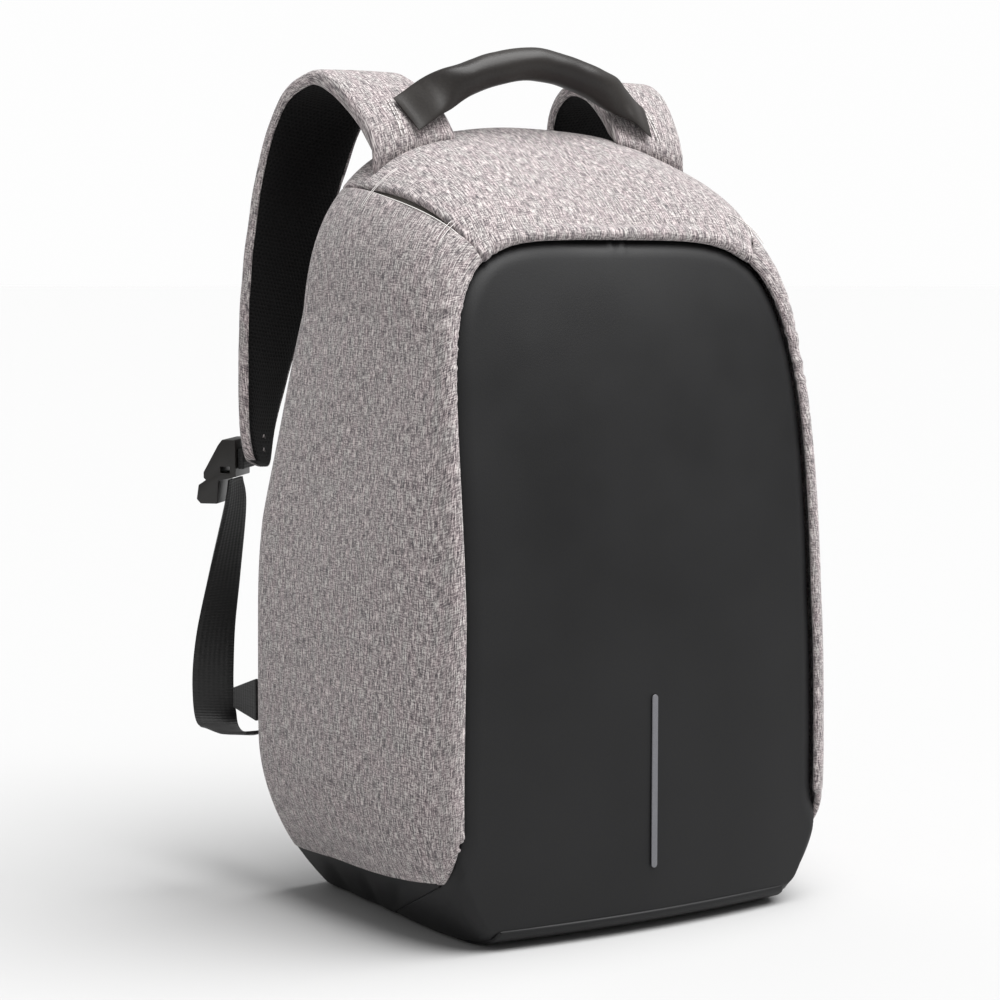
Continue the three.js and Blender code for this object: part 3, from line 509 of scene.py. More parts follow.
knit_mesh = spacer_mesh()
print("made", knit_mesh.name, "with holes", HOLE_STEP, "mm apart")

# %% [markdown]
# Webbing is woven from nylon yarn, with ribs across the band and finer rows along it. Two wave
# patterns, one each way, give it the look of a close ladder that catches light in thin lines.

# %% Webbing
RIB, ROW_SHARE = 0.9, 0.6


def woven_web(name, dark, light):
    material, tree, shader = new_material(name, 0.62, IOR=1.53, Sheen_Weight=0.1)
    uv = add_node(tree, "ShaderNodeTexCoord", {}).outputs["UV"]
    per_rib = 1 / (RIB * 6.28 * MM)
    inputs = {"Vector": uv, "Scale": (per_rib, per_rib, per_rib)}
    place = add_node(tree, "ShaderNodeMapping", inputs).outputs["Vector"]
    ribs, rows = (
        add_node(
            tree, "ShaderNodeTexWave", {"Vector": place, "Scale": scale, "Distortion": sway},
            bands_direction=way,
        ).outputs["Fac"]
        for scale, sway, way in ((1.0, 0.4, "Y"), (ROW_SHARE, 0.6, "X"))
    )
    weave = layered(tree, (0.6, ribs), (0.4, rows))
    colours = add_node(tree, "ShaderNodeValToRGB", {"Fac": weave}, [(0.2, dark), (0.8, light)])
    tree.links.new(colours.outputs["Color"], shader.inputs["Base Color"])
    relief = add_node(tree, "ShaderNodeBump", {"Height": weave, "Distance": 0.35 * MM, "Strength": 0.7})
    tree.links.new(relief.outputs["Normal"], shader.inputs["Normal"])
    return material


nylon_web = woven_web("woven nylon webbing", "080808", "161515")
print("made", nylon_web.name)

# %% [markdown]
# The small finishes differ in colour and gloss and share one build: two near shades mixed by a
# fine grain, which is also their bump. That is enough at their size, and keeps them alike.

# %% Small finishes
def plain_finish(name, colour, lighter, roughness, size, depth, **sockets):
    """A finish with a grain of this size and depth, in millimetres, in Object coordinates."""
    material, tree, shader = new_material(name, roughness, **sockets)
    place = add_node(tree, "ShaderNodeTexCoord", {}).outputs["Object"]
    fine = grain(tree, place, size, size, 2)
    colours = add_node(tree, "ShaderNodeValToRGB", {"Fac": fine}, [(0.35, colour), (0.65, lighter)])
    tree.links.new(colours.outputs["Color"], shader.inputs["Base Color"])
    relief = add_node(tree, "ShaderNodeBump", {"Height": fine, "Distance": depth * MM, "Strength": 0.6})
    tree.links.new(relief.outputs["Normal"], shader.inputs["Normal"])
    return material


# Acetal from a spark-eroded mould: dark, with a soft gloss that shows the bevels as light lines.
moulded_acetal = plain_finish(
    "moulded acetal, spark textured", "191715", "22201e", 0.38, 0.5, 0.05, IOR=1.48
)
# Tape with glass beads in a clear film: flat mid grey by day, a little silvery.
bead_tape = plain_finish(
    "glass bead reflective tape", "69696d", "77777b", 0.42, 0.35, 0.04, Metallic=0.15, IOR=1.5
)
# A thin plain-woven lining: matt, a warm grey in the shade of the slit.
lining = plain_finish("polyester lining", "6d6a65", "85817a", 0.85, 0.6, 0.15, IOR=1.45)
# Spun thread: matt and hairy, so it shows as a thin line without a highlight.
pale_thread = plain_finish("spun polyester thread, pale", "d8d3d0", "f0ecea", 0.7, 0.3, 0.05, IOR=1.5)
grey_thread = plain_finish("spun polyester thread, grey", "8f8888", "b0a9a8", 0.7, 0.3, 0.05, IOR=1.5)
print("made", len(bpy.data.materials), "materials")

# %% [markdown]
# Every finished piece gets its material, rides on the bag's one body, and hides the CAD solid
# that it stands for. One function does it, so none is forgotten.

# %% Finish a piece
def finish_piece(piece, material, slot, *nodes):
    piece.data.materials.clear()
    piece.data.materials.append(material)
    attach(piece, "root")
    if nodes:
        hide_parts(*nodes)
    print(piece.name, len(piece.data.polygons), "faces")
    return piece


# %% [markdown]
# The side panels are the largest pieces of cloth. Each runs from the seam above the base to
# the slit, and from the rolled rim beside the front panel round to the back. It could be draped
# by a cloth simulation, but the real panel is stiffened and keeps its form, so it is laid on the
# form by formula and finished with what sewing does to it. The rim is padded, and gathered a
# little where it turns the upper corner: points near it are raised along the normal, with short
# ripples across the rim, and its border is rolled well under.

# %% Side panels
CLOTH_THICK = 1.1
HEM = (HEM_RADIUS, 130)
RIM_ROLL = (2.0, 150)
CORNER_HEIGHT = 322
front_shares = np.linspace(0, 1, 88) ** 2
depth_shares = np.concatenate([front_shares, np.linspace(1, 2, 13)[1:]])


def rim_distance(points):
    """How far a point lies from the front edge, or from the swept edge below it."""
    depth = points[..., 1] - lean(FRONT, np.minimum(points[..., 2], PANEL_HEIGHT))
    curve = sweep_depths[::4]
    low = np.hypot(depth[..., None] - curve, points[..., 2][..., None] - sweep_at(curve)).min(-1)
    return np.where(points[..., 2] > SWEEP_HEIGHT, np.minimum(depth, low), low)


def gathers(distance, run, corner, seed):
    """Short ripples that cross the rim and die out behind it, strongest at the corner."""
    chance = np.random.default_rng(seed)
    ripple = sum(np.sin(run / pitch * 2 * math.pi + chance.uniform(0, 6)) for pitch in (5.3, 7.9, 12.1))
    strong = 0.01 + 0.2 * np.exp(-((corner / 40) ** 2))
    return ripple * strong * np.exp(-distance / 9)


def side_panel(name, side, seed, creases=()):
    v = depth_shares
    line = front["side"]
    floor = np.maximum(gusset_top(v), sweep_at(v * DEPTH_RUN))
    low = share_at_height(line, floor) + SEAM_GAP / 2 / line["total"]
    s = mix(low, 1 - slit_share("side", v), np.linspace(0, 1, 150)[:, None])
    points = skin("side", s, v)
    distance = rim_distance(points)
    z = points[..., 2]
    strength = np.clip((z / SWEEP_HEIGHT - RIM_FADE) / (1 - RIM_FADE), 0, 1)
    rise = RIM_PROUD * np.cos(np.clip(distance / RIM_WIDTH, 0, 1) * math.pi / 2) ** 2 * strength
    rise = rise + gathers(distance, z, z - CORNER_HEIGHT, seed)
    soft = dents(points, size=95, height=0.9, seed=seed) * fade(distance, 4, 40)
    rise = rise + soft * fade(2 - v, 0, 0.5)
    for height, deep, wide, reach in creases:
        rise = rise - deep * np.exp(-(((z - height) / wide) ** 2)) * np.exp(-distance / reach)
    points = points + normals_of(points) * rise[..., None]
    points[..., 0] *= side
    hems = {"left": RIM_ROLL, "right": HEM, "low": RIM_ROLL, "high": HEM}
    return finish_piece(
        sewn_cloth(name + "_sewn", points, hems, CLOTH_THICK), cloth_of_sides, "melange_fabric", name
    )


side_panel("side_panel_left", -1, 11)
side_panel("side_panel_right", 1, 12, [(318, 1.1, 3.0, 14), (306, 0.8, 2.2, 10), (331, 0.6, 2.5, 8)])

# %% [markdown]
# The top panel is one piece from slit to slit, cut like the sides and laid in the same way. Its
# warp runs from front to back, across that of the sides, so its UV map is turned. That is why
# it catches the light in another way.

# %% Top panel
def top_panel():
    v = depth_shares
    a = np.linspace(-1, 1, 181)[:, None]
    points = skin("top", mix(1, slit_share("top", v), np.abs(a)), v)
    points[..., 0] *= np.where(a < 0, -1, 1)
    distance = np.linalg.norm(points - points[:, :1], axis=-1)
    run = running(points, 0)
    rise = RIM_PROUD * np.cos(np.clip(distance / RIM_WIDTH, 0, 1) * math.pi / 2) ** 2
    corner = (1 - np.abs(a)) * front["top"]["total"]
    rise = rise + gathers(distance, run, corner, 21)
    rise = rise + dents(points, size=80, height=0.7, seed=22) * fade(distance, 4, 40)
    points = points + normals_of(points) * rise[..., None]
    hems = {"left": RIM_ROLL, "right": HEM, "low": HEM, "high": HEM}
    piece = sewn_cloth("top_panel_sewn", points, hems, CLOTH_THICK, turned=True)
    return finish_piece(piece, cloth_of_sides, "melange_fabric", "top_panel")


top_panel()

# %% [markdown]
# The coated front panel is padded: it swells in the middle and rolls down into the groove
# along the rim, which is what draws the dark line round it. At the foot it turns the corner
# under the side panel. It could be two pieces joined there, but the real one is a single cloth,
# so it is one sheet whose width runs on round the corner.

# %% Front panel
EAR_FOLD, EAR_STRIP = 0.8, 11
PILLOW_DEEP, PILLOW_WIDE = 5.2, 12
PANEL_EDGE = PANEL_INSET + 1.6


def front_panel():
    side, top = front["side"], front["top"]
    corner_z = along(side, 1 - PANEL_EDGE / side["total"])[1]
    b = np.linspace(0, 1, 150)[:, None] ** 1.15
    a = np.linspace(-1, 1, 161)
    reach = np.abs(a)
    edge_z = mix(FLOOR_LIFT, corner_z, b)
    edge_x = front_half_width(edge_z) + sweep_depth(edge_z) - PANEL_EDGE
    fold = np.minimum(front_half_width(edge_z), edge_x - EAR_STRIP) / edge_x
    outer = mix(fold, 1, (reach - EAR_FOLD) / (1 - EAR_FOLD))
    spread = np.where(reach < EAR_FOLD, fold * reach / EAR_FOLD, outer)

    def top_at(share):
        x, z = along(top, 1 - share)
        return x * (1 - PANEL_EDGE * 0.7 / PANEL_WIDTH * 2), z - PANEL_EDGE

    head_x, head_z = top_at(1.0)
    top_x, top_z = top_at(spread)
    x = spread * edge_x + b * (top_x - spread * head_x)
    z = edge_z + b * (top_z - head_z)
    rim_x = front_half_width(z)
    flat = np.stack([x, lean(FRONT, z) - dome(x, rim_x, z), z], -1)
    share = share_at_height(side, z)
    run = lean(CREST, along(crest["side"], share)[1]) - lean(FRONT, along(side, share)[1])
    ear = skin("side", share, np.maximum(x - rim_x, 0) / run)
    points = np.where(((z < SWEEP_HEIGHT) & (x > rim_x))[..., None], ear, flat)
    border_z = np.concatenate([np.linspace(FLOOR_LIFT, side["z"][-1], 300), top["z"]])
    low_x = front_half_width(border_z[:300]) + sweep_depth(border_z[:300])
    border_x = np.concatenate([low_x, top["x"]])
    distance = np.hypot(x[..., None] - border_x, z[..., None] - border_z).min(-1)
    points[..., 0] *= np.sign(a)
    dip = PILLOW_DEEP * (1 - np.clip(distance / PILLOW_WIDE, 0, 1)) ** 2
    rise = dents(points, size=120, height=0.5, seed=31) * fade(distance, 5, 50)
    rise = rise - dip * mix(0.1, 1, fade(z, 25, 75))
    points = points + normals_of(points) * rise[..., None]
    hems = {"low": (0.4, 100), "high": HEM, "left": HEM, "right": HEM}
    piece = sewn_cloth("front_panel_sewn", points, hems, 1.2)
    return finish_piece(piece, coated_panel, "coated_fabric", "front_panel")


front_panel()

# %% [markdown]
# The base is the same coated cloth: a floor that rounds up to the front, and a gusset on each
# side that fills the space under the side panel. The gussets carry the slack of the corner, so
# they get a few slanting folds. The folds are rows in a table, each a soft trough across the
# strip, which is easier to place than a simulation's.

# %% Base and gussets
def base_panel():
    a = np.linspace(-1, 1, 121)[:, None]
    edge = 1 - SEAM_GAP * 1.6 / front["floor"]["total"]
    v = np.maximum(2 * np.linspace(0, 1, 90) ** 1.7, 0.0002)
    points = skin("floor", np.abs(a) * edge, v)
    points[..., 0] *= np.where(a < 0, -1, 1)
    hems = {"left": (0.3, 90), "low": (0.8, 90), "high": (0.8, 90)}
    piece = sewn_cloth("base_panel_sewn", points, hems, 1.2)
    return finish_piece(piece, coated_panel, "coated_fabric", "base_panel")


FOLDS = [dict(y=-8, slant=0.9, deep=1.6, wide=7), dict(y=-46, slant=1.1, deep=1.2, wide=6),
         dict(y=34, slant=0.7, deep=1.3, wide=9)]


def gusset(name, side):
    line = front["side"]
    depths = np.arange(0, SWEEP_REACH, 0.5)
    start = depths[sweep_at(depths) <= gusset_top(depths / DEPTH_RUN) - GUSSET_START][0] / DEPTH_RUN
    v = np.linspace(start, 2, 110)
    low = share_at_height(line, sweep_at(v * DEPTH_RUN)) + SEAM_GAP / line["total"]
    high = share_at_height(line, gusset_top(v)) - SEAM_GAP / 2 / line["total"]
    a = np.linspace(0, 1, 36)[:, None]
    points = skin("side", mix(low, high, a), v)
    rise = 0
    for fold in FOLDS:
        off = points[..., 1] - fold["y"] - fold["slant"] * (GUSSET_BACK - points[..., 2])
        rise = rise - fold["deep"] * np.exp(-((off / fold["wide"]) ** 2)) * np.sin(math.pi * a)
    points = points + normals_of(points) * rise[..., None]
    points[..., 0] *= side
    piece = sewn_cloth(name + "_sewn", points, dict.fromkeys(EVERY_EDGE, (0.9, 110)), 1.1)
    return finish_piece(piece, coated_panel, "coated_fabric", name)


base_panel()
gusset("base_gusset_left", -1)
gusset("base_gusset_right", 1)

# %% [markdown]
# Behind each slit lies a strip of lining, and a pale tube along its lower lip is a painted highlight.
# Near both ends the two panels are held together by a pair of long pale stitches, which lie on
# the cloth and bridge the gap. A curve with a bevel could draw a thread. A grid rolled round a
# path gives the same tube as a mesh at once, with its points set off from the cloth.

# %% Slit linings and their tacks
def on_slit(w, v):
    """A point w millimetres beside the slit's middle: below it on the side, above on the top."""
    w, v = np.broadcast_arrays(np.asarray(w, float), np.asarray(v, float))
    found = []
    for piece in ("side", "top"):
        length = mix(front[piece]["total"], crest[piece]["total"], np.minimum(v, 1))
        share = np.abs(w) / length
        found.append(skin(piece, 1 - share if piece == "side" else share, v))
    return np.where((w < 0)[..., None], found[0], found[1])


def slit_lining(name, side):
    w = np.linspace(-LINING_WIDE / 2, LINING_WIDE / 2, 15)[:, None]
    points = on_slit(w, np.linspace(0.06, 1, 60))
    points = points - normals_of(points) * LINING_DEEP
    points[..., 0] *= side
    piece = sewn_cloth(name + "_sewn", points, {}, 0.8)
    return finish_piece(piece, lining, "lining_fabric", name)


def tube(name, path, radius, sides=8):
    """A round thread along a path: a grid rolled into a tube, merged and closed at its ends."""
    run = unit(np.gradient(path, axis=0))
    across = unit(np.cross(run, (0.3, 0.2, 1)))
    up = np.cross(across, run)
    a = np.linspace(0, 2 * math.pi, sides + 1)[None, :, None]
    points = path[:, None] + radius * (np.cos(a) * across[:, None] + np.sin(a) * up[:, None])
    return close_tube(sheet_piece(name, points))


def close_tube(piece):
    edit(
        piece,
        (bpy.ops.mesh.remove_doubles, {"threshold": 0.00001}),
        (bpy.ops.mesh.fill_holes, {"sides": 0}),
        (bpy.ops.mesh.normals_make_consistent, {"inside": False}),
    )
    bpy.ops.object.shade_smooth_by_angle(angle=math.radians(50))
    return piece


def joined(name, pieces):
    bpy.ops.object.select_all(action="DESELECT")
    for piece in pieces:
        piece.select_set(True)
    bpy.context.view_layer.objects.active = pieces[0]
    if len(pieces) > 1:
        bpy.ops.object.join()
    bpy.context.object.name = bpy.context.object.data.name = name
    return bpy.context.object


THREAD_RADIUS, THREAD_APART = 0.22, 2.4
TACKS = [dict(v=0.13, below=12, above=15), dict(v=0.72, below=12, above=17)]


def slit_tacks(name, side):
    threads = []
    for tack in TACKS:
        w = np.linspace(-tack["below"], tack["above"], 24)
        for shift in (-0.5, 0.5):
            v = tack["v"] + shift * THREAD_APART / DEPTH_RUN * (1.4 if tack["v"] < 0.4 else 1)
            around = on_slit(w[:, None], v + np.array([-0.004, 0, 0.004]))
            path = around[:, 1] + normals_of(around)[:, 1] * (THREAD_RADIUS + 0.9)
            path[:, 0] *= side
            threads.append(tube("thread", path, THREAD_RADIUS))
    return finish_piece(joined(name, threads), pale_thread, "lining_fabric")


def slit_highlight(name, side):
    """A painted highlight: a pale tube along the slit's lower lip, where the light catches it."""
    v = np.linspace(0.01, 0.99, 80)
    length = mix(front["side"]["total"], crest["side"]["total"], v)
    share = 1 - slit_share("side", v) + HEM_RADIUS * 0.6 / length
    around = skin("side", share + np.array([[-0.002], [0], [0.002]]), v)
    path = around[1] + normals_of(around)[1] * 0.1
    path[:, 0] *= side
    # painted highlight: the pale thread colour on this tube stands in for light caught by the lip
    return finish_piece(tube(name, path, 0.32, 6), pale_thread, "melange_fabric")


for word, side in (("left", -1), ("right", 1)):
    slit_highlight("slit_highlight_" + word, side)
    slit_lining("slit_lining_" + word, side)
    slit_tacks("slit_tacks_" + word, side)

# %% [markdown]
# The back panel is foam under spacer mesh. It fills the ring that the skin ends in. A flat disc
# pushed into shape would leave gaps at the ring, so its points come from the ring itself by a
# Coons patch, which blends the four borders. Then it is crowned, and it dips along its seam.

# %% Back panel
BACK_CROWN, BACK_PILLOW, BACK_PILLOW_WIDE = 5, 4, 16


def back_panel():
    across = np.linspace(1, -1, 121)[:, None]
    b = np.linspace(0, 1, 150)

    def ring(piece, s):
        return skin(piece, s, 2, BACK_CLEARANCE)

    sign = np.where(across < 0, -1, 1)[..., None] * (1, 0, 0) + (0, 1, 1)
    edge = ring("side", b)
    bottom = ring("floor", np.abs(across)) * sign
    top = ring("top", 1 - np.abs(across)) * sign
    foot, head = ring("side", 0.0), ring("side", 1.0)
    share = b[:, None]
    swung = edge - (1 - share) * foot - share * head
    swung = swung * np.stack([across, across * 0 + 1, across * 0 + 1], -1)
    points = (1 - share) * bottom + share * top + swung
    points[..., 1] += BACK_CROWN * (1 - across**4) * (1 - (b * 2 - 1) ** 4)
    border = np.concatenate([points[0], points[-1], points[:, 0], points[:, -1]])[:, [0, 2]]
    flat = points[..., [0, 2]]
    distance = np.sqrt(((flat[:, :, None] - border[None, None, ::3]) ** 2).sum(-1).min(-1))
    points[..., 1] -= BACK_PILLOW * (1 - np.clip(distance / BACK_PILLOW_WIDE, 0, 1)) ** 2
    piece = sewn_cloth("back_panel_sewn", points, dict.fromkeys(EVERY_EDGE, (3, 100)), 2.5)
    finish_piece(piece, knit_mesh, "spacer_mesh", "back_panel")


back_panel()

# %% [markdown]
# Straps. Each follows one smooth line from its root on the top panel, over the shoulder bend
# and down to the buckle. The cover is a channel of melange cloth whose edges turn round the
# foam to the other side, and the pad under it is spacer mesh. The table holds places as shares
# of the body's sizes, and turn and tilt in degrees, as the CAD frame does.

# %% The straps' line
STRAP_WIDTH, STRAP_THICK = 57, 9
ROOT_OUT, ROOT_BACK = 81, 21
STRAP_ROWS = [  # out, back, up, wide, thick, turn, tilt
    (0.000, 0.000, 0.007, 0.92, 0.75, 0, 15), (0.007, 0.078, 0.045, 0.93, 0.90, 0, 8),
    (0.022, 0.203, 0.083, 0.95, 1.00, 0, 1), (0.028, 0.316, 0.093, 1.00, 1.00, 0, 0),
    (0.045, 0.449, 0.060, 1.03, 1.00, 0, 0), (0.071, 0.527, -0.023, 1.00, 1.00, 3, 0),
    (0.100, 0.570, -0.147, 0.96, 1.00, 11, 0), (0.125, 0.586, -0.239, 0.86, 0.95, 22, 0),
    (0.139, 0.586, -0.290, 0.80, 0.90, 30, 0), (0.156, 0.576, -0.357, 0.74, 0.80, 40, 0),
    (0.164, 0.551, -0.409, 0.64, 0.66, 48, 0),
]
WEB_WIDTH, WEB_THICK = 25, 1.8
WEB_ROWS = [
    (0.033, 0.048, -0.020, 1.00, 1, 46, 0), (0.034, 0.051, -0.058, 1.00, 1, 33, 0),
    (0.051, 0.080, -0.152, 1.00, 1, 14, 0), (0.065, 0.102, -0.231, 1.00, 1, -4, 0),
    (0.071, 0.104, -0.305, 1.00, 1, -26, -4), (0.068, 0.078, -0.350, 1.00, 1, -22, -14),
    (0.064, -0.027, -0.358, 0.86, 1, -10, -8), (0.052, -0.143, -0.350, 0.62, 1, 0, 0),
]


def spline(values, t):
    """A Catmull-Rom curve through rows of values, with straight run-outs at its ends."""
    values = np.asarray(values, float)
    ends = (2 * values[0] - values[1])[None], (2 * values[-1] - values[-2])[None]
    padded = np.concatenate([ends[0], values, ends[1]])
    place = np.clip(t, 0, 1) * (len(values) - 1)
    i = np.minimum(place.astype(int), len(values) - 2)
    w = (place - i)[:, None]
    p0, p1, p2, p3 = (padded[i + k] for k in range(4))
    start, end = (p2 - p0) / 2, (p3 - p1) / 2
    square = -3 * p1 + 3 * p2 - 2 * start - end
    return p1 + w * start + w**2 * square + w**3 * (2 * p1 - 2 * p2 + start + end)


def band(origin, rows, t):
    """The middle, run, across and face directions, width and thickness of a band at shares t."""
    rows = np.asarray(rows, float)
    line = rows[:, :3] * (-BODY_WIDTH, BODY_DEPTH, BODY_HEIGHT) + origin
    tiny = 0.0001
    run = unit(spline(line, t + tiny) - spline(line, t - tiny))
    turn, tilt = np.radians(spline(rows[:, 5:], t)).T
    across = np.stack([np.cos(turn) * np.cos(tilt), np.sin(turn) * np.cos(tilt), np.sin(tilt)], -1)
    across = unit(across - run * (across * run).sum(-1, keepdims=True))
    size = spline(rows[:, 3:5], t)
    return dict(middle=spline(line, t), run=run, across=across, face=np.cross(across, run),
                wide=size[:, 0], thick=size[:, 1])


def top_skin_at(x, y):
    """The height of the top panel above places (x, y), by halving the outline's share."""
    x, y = np.abs(np.asarray(x, float)), np.asarray(y, float)
    low, high = np.zeros_like(x), np.ones_like(x)
    for _ in range(30):
        s = (low + high) / 2
        y_front = lean(FRONT, along(front["top"], s)[1])
        run = lean(CREST, along(crest["top"], s)[1]) - y_front
        point = skin("top", s, np.clip((y - y_front) / run, 0, 1))
        inside = point[..., 0] > x
        low, high = np.where(inside, s, low), np.where(inside, high, s)
    return point[..., 2]


strap_root = np.array([-ROOT_OUT, ROOT_BACK, float(top_skin_at(ROOT_OUT, ROOT_BACK)) + SEAM_GAP])
strap_foot = band(strap_root, STRAP_ROWS, np.array([1.0]))
print("strap root", strap_root.round(1), "foot", strap_foot["middle"][0].round(1))

# %% The straps' sections
def evenly_along(corners, count):
    """Points spaced evenly along a broken line."""
    corners = np.asarray(corners, float)
    run = np.insert(np.cumsum(np.linalg.norm(np.diff(corners, axis=0), axis=-1)), 0, 0)
    at = np.linspace(0, run[-1], count)
    return np.stack([np.interp(at, run, corners[:, k]) for k in (0, 1)], -1)


def arc(x, y, radius, start, end, steps=7):
    a = np.radians(np.linspace(start, end, steps))
    return list(zip(x + radius * np.cos(a), y + radius * np.sin(a)))


def channel(wide, thick, count=52):
    """The cover's section: a narrow hem by the mesh, round edges, and the crowned face."""
    r = min(thick * 0.85, 3.4)
    half = [(-wide + 1.3, -thick * 0.95), (-wide + 0.5, -thick * 0.8), (-wide, -thick * 0.4)]
    half += arc(-wide + r, thick - r, r, 180, 90)
    face = [(x, thick + 0.7 * (1 - (x / wide) ** 2)) for x in np.linspace(-wide + r + 1, 0, 10)]
    half += face
    return evenly_along(half + [(-x, y) for x, y in half[-2::-1]], count)


def pad_section(wide, thick, count=60):
    """The pad's section: a full mesh face that stands a little out of the channel."""
    wide = wide - 1.4
    r = min(thick * 0.6, 2.2)
    face = [(x, -thick - 1.1 * (1 - (x / wide) ** 6)) for x in np.linspace(-wide + r + 0.6, 0, 14)]
    half = [(0, thick - 1.6), (-wide + 0.6, thick - 1.6), (-wide, -thick + r)]
    half += arc(-wide + r, -thick + r, r, 180, 262) + face
    return evenly_along(half + [(-x, y) for x, y in half[-2::-1]], count)


def strap_grid(section, steps=170):
    t = np.linspace(0, 1, steps)
    f = band(strap_root, STRAP_ROWS, t)
    foot = np.clip((t - 0.975) / 0.025, 0, 1)
    narrow = 1 - 0.22 * (1 - np.sqrt(1 - foot**2))
    rings = []
    for i in range(steps):
        wide = f["wide"][i] * STRAP_WIDTH / 2 * narrow[i]
        thick = f["thick"][i] * STRAP_THICK / 2 * mix(0.55, 1, fade(t[i], 0, 0.06))
        q = section(wide, thick)
        rings.append(f["middle"][i] + q[:, :1] * f["across"][i] + q[:, 1:] * f["face"][i])
    points = np.array(rings)
    points[0, :, 2] = top_skin_at(points[0, :, 0], points[0, :, 1]) + SEAM_GAP
    points[1, :, 2] = np.maximum(points[1, :, 2], points[0, :, 2] + 1)
    return points


print("a strap's section at its widest:", channel(30, 4.5).shape[0], "points")

# %% [markdown]
# The cover could be a plate with its edges bent down. Sweeping a channel-shaped section along
# the strap's line gives the same form in one go, and the hem and the crown are in the section.
# The pad is a closed section swept along the same line, inside the channel. Its mesh face
# stands a little out, as foam does between two seams.

# %% Strap covers and pads
def strap_cover(word, side):
    points = strap_grid(channel)
    middle = band(strap_root, STRAP_ROWS, np.linspace(0, 1, len(points)))["middle"][:, None]
    away = unit(points - middle)
    points = points + away * dents(points, size=34, height=0.22, seed=41 + side)[..., None]
    points[..., 0] *= -side
    piece = sheet_piece("strap_cover_" + word + "_sewn", points)
    poly = piece.data.polygons[len(piece.data.polygons) // 2 + 26]
    centre = np.array(poly.center) / MM - (0, BODY_SHIFT, 0)
    line = middle[:, 0] * (-side, 1, 1)
    near = line[np.argmin(np.linalg.norm(line - centre, axis=-1))]
    if np.dot(centre - near, poly.normal) < 0:
        edit(piece, (bpy.ops.mesh.flip_normals, {}))
    modify(piece, "SOLIDIFY", thickness=1.2 * MM, offset=-1)
    bpy.ops.object.shade_smooth()
    finish_piece(piece, cloth_of_sides, "melange_fabric", "strap_cover_" + word)


def strap_pad(word, side):
    points = strap_grid(pad_section)
    points[..., 0] *= -side
    piece = close_tube(sheet_piece("strap_pad_" + word + "_sewn", points))
    finish_piece(piece, knit_mesh, "spacer_mesh", "strap_pad_" + word)


for word, side in (("left", -1), ("right", 1)):
    strap_cover(word, side)
    strap_pad(word, side)

# %% [markdown]
# The handle is a foam tube in coated cloth. It arches between the two strap roots, and its
# ends flatten until they lie on the covers. A curve with a bevel keeps one section all along,
# so the sections are laid ring by ring, each with its own height, depth, roll and tilt.

# %% Handle
HANDLE_RISE, HANDLE_POWER, HANDLE_SEAT = 30, 1.7, 0.075
HANDLE_TALL, HANDLE_DEEP, HANDLE_END_TALL, HANDLE_END_THICK, HANDLE_TIP_THICK = 19, 21, 27, 6.5, 2.6
seat = band(strap_root, STRAP_ROWS, np.array([HANDLE_SEAT]))
seat_lift = STRAP_THICK * seat["thick"][0] * 0.5 + HANDLE_END_THICK / 2 + SEAM_GAP * 2
handle_end = seat["middle"][0] + seat["face"][0] * seat_lift


def handle():
    t = np.linspace(-1, 1, 150)
    ease = fade(np.abs(t), 0.52, 0.86)
    tip = np.clip((np.abs(t) - 0.975) / 0.025, 0, 1)
    roll = math.atan2(seat["run"][0][1], seat["run"][0][2]) * ease
    tall = mix(HANDLE_TALL, HANDLE_END_TALL, ease) / 2
    flat = fade(np.abs(t), 0.8, 0.98)
    deep = mix(mix(HANDLE_DEEP, HANDLE_END_THICK, ease), HANDLE_TIP_THICK, flat) / 2
    deep = deep * (1 - 0.4 * tip**2)
    span = abs(handle_end[0])
    slope = -HANDLE_RISE * HANDLE_POWER * np.abs(t) ** (HANDLE_POWER - 1) * np.sign(t)
    tilt = np.arctan2(slope, span) * (1 - ease * 0.4)
    rise = HANDLE_RISE * (1 - np.abs(t) ** HANDLE_POWER)
    a = np.linspace(0, 2 * math.pi, 49)
    up, out = np.cos(a) * tall[:, None], np.sin(a) * deep[:, None]
    y = up * np.sin(roll)[:, None] - out * np.cos(roll)[:, None]
    z = up * np.cos(roll)[:, None] + out * np.sin(roll)[:, None]
    points = np.stack([
        (span * t)[:, None] - z * np.sin(tilt)[:, None], handle_end[1] + y,
        (handle_end[2] + rise)[:, None] + z * np.cos(tilt)[:, None],
    ], -1)
    sink = (HANDLE_END_THICK - HANDLE_TIP_THICK) / 2 * flat[:, None, None]
    facing = seat["face"][0] * np.where(t[:, None, None] < 0, 1, (-1, 1, 1))
    points = points - facing * sink
    middle = points.mean(1, keepdims=True)
    wrinkle = dents(points, size=22, height=0.22, seed=51) * (1 - ease[:, None])
    points[:, 1:-1] += (unit(points - middle) * wrinkle[..., None])[:, 1:-1]
    points[:, -1] = points[:, 0]
    piece = close_tube(sheet_piece("top_handle_sewn", points))
    finish_piece(piece, coated_handle, "coated_fabric", "top_handle")


handle()

# %% [markdown]
# Two rows of stitches run beside each end of the handle, and small tacks hold the mesh at each
# strap's foot. One row is laid on the left strap and mirrored, as the straps are.

# %% Handle stitches and strap bartacks
STITCH_LONG, STITCH_STEP, STITCH_RADIUS = 2.4, 3.4, 0.32


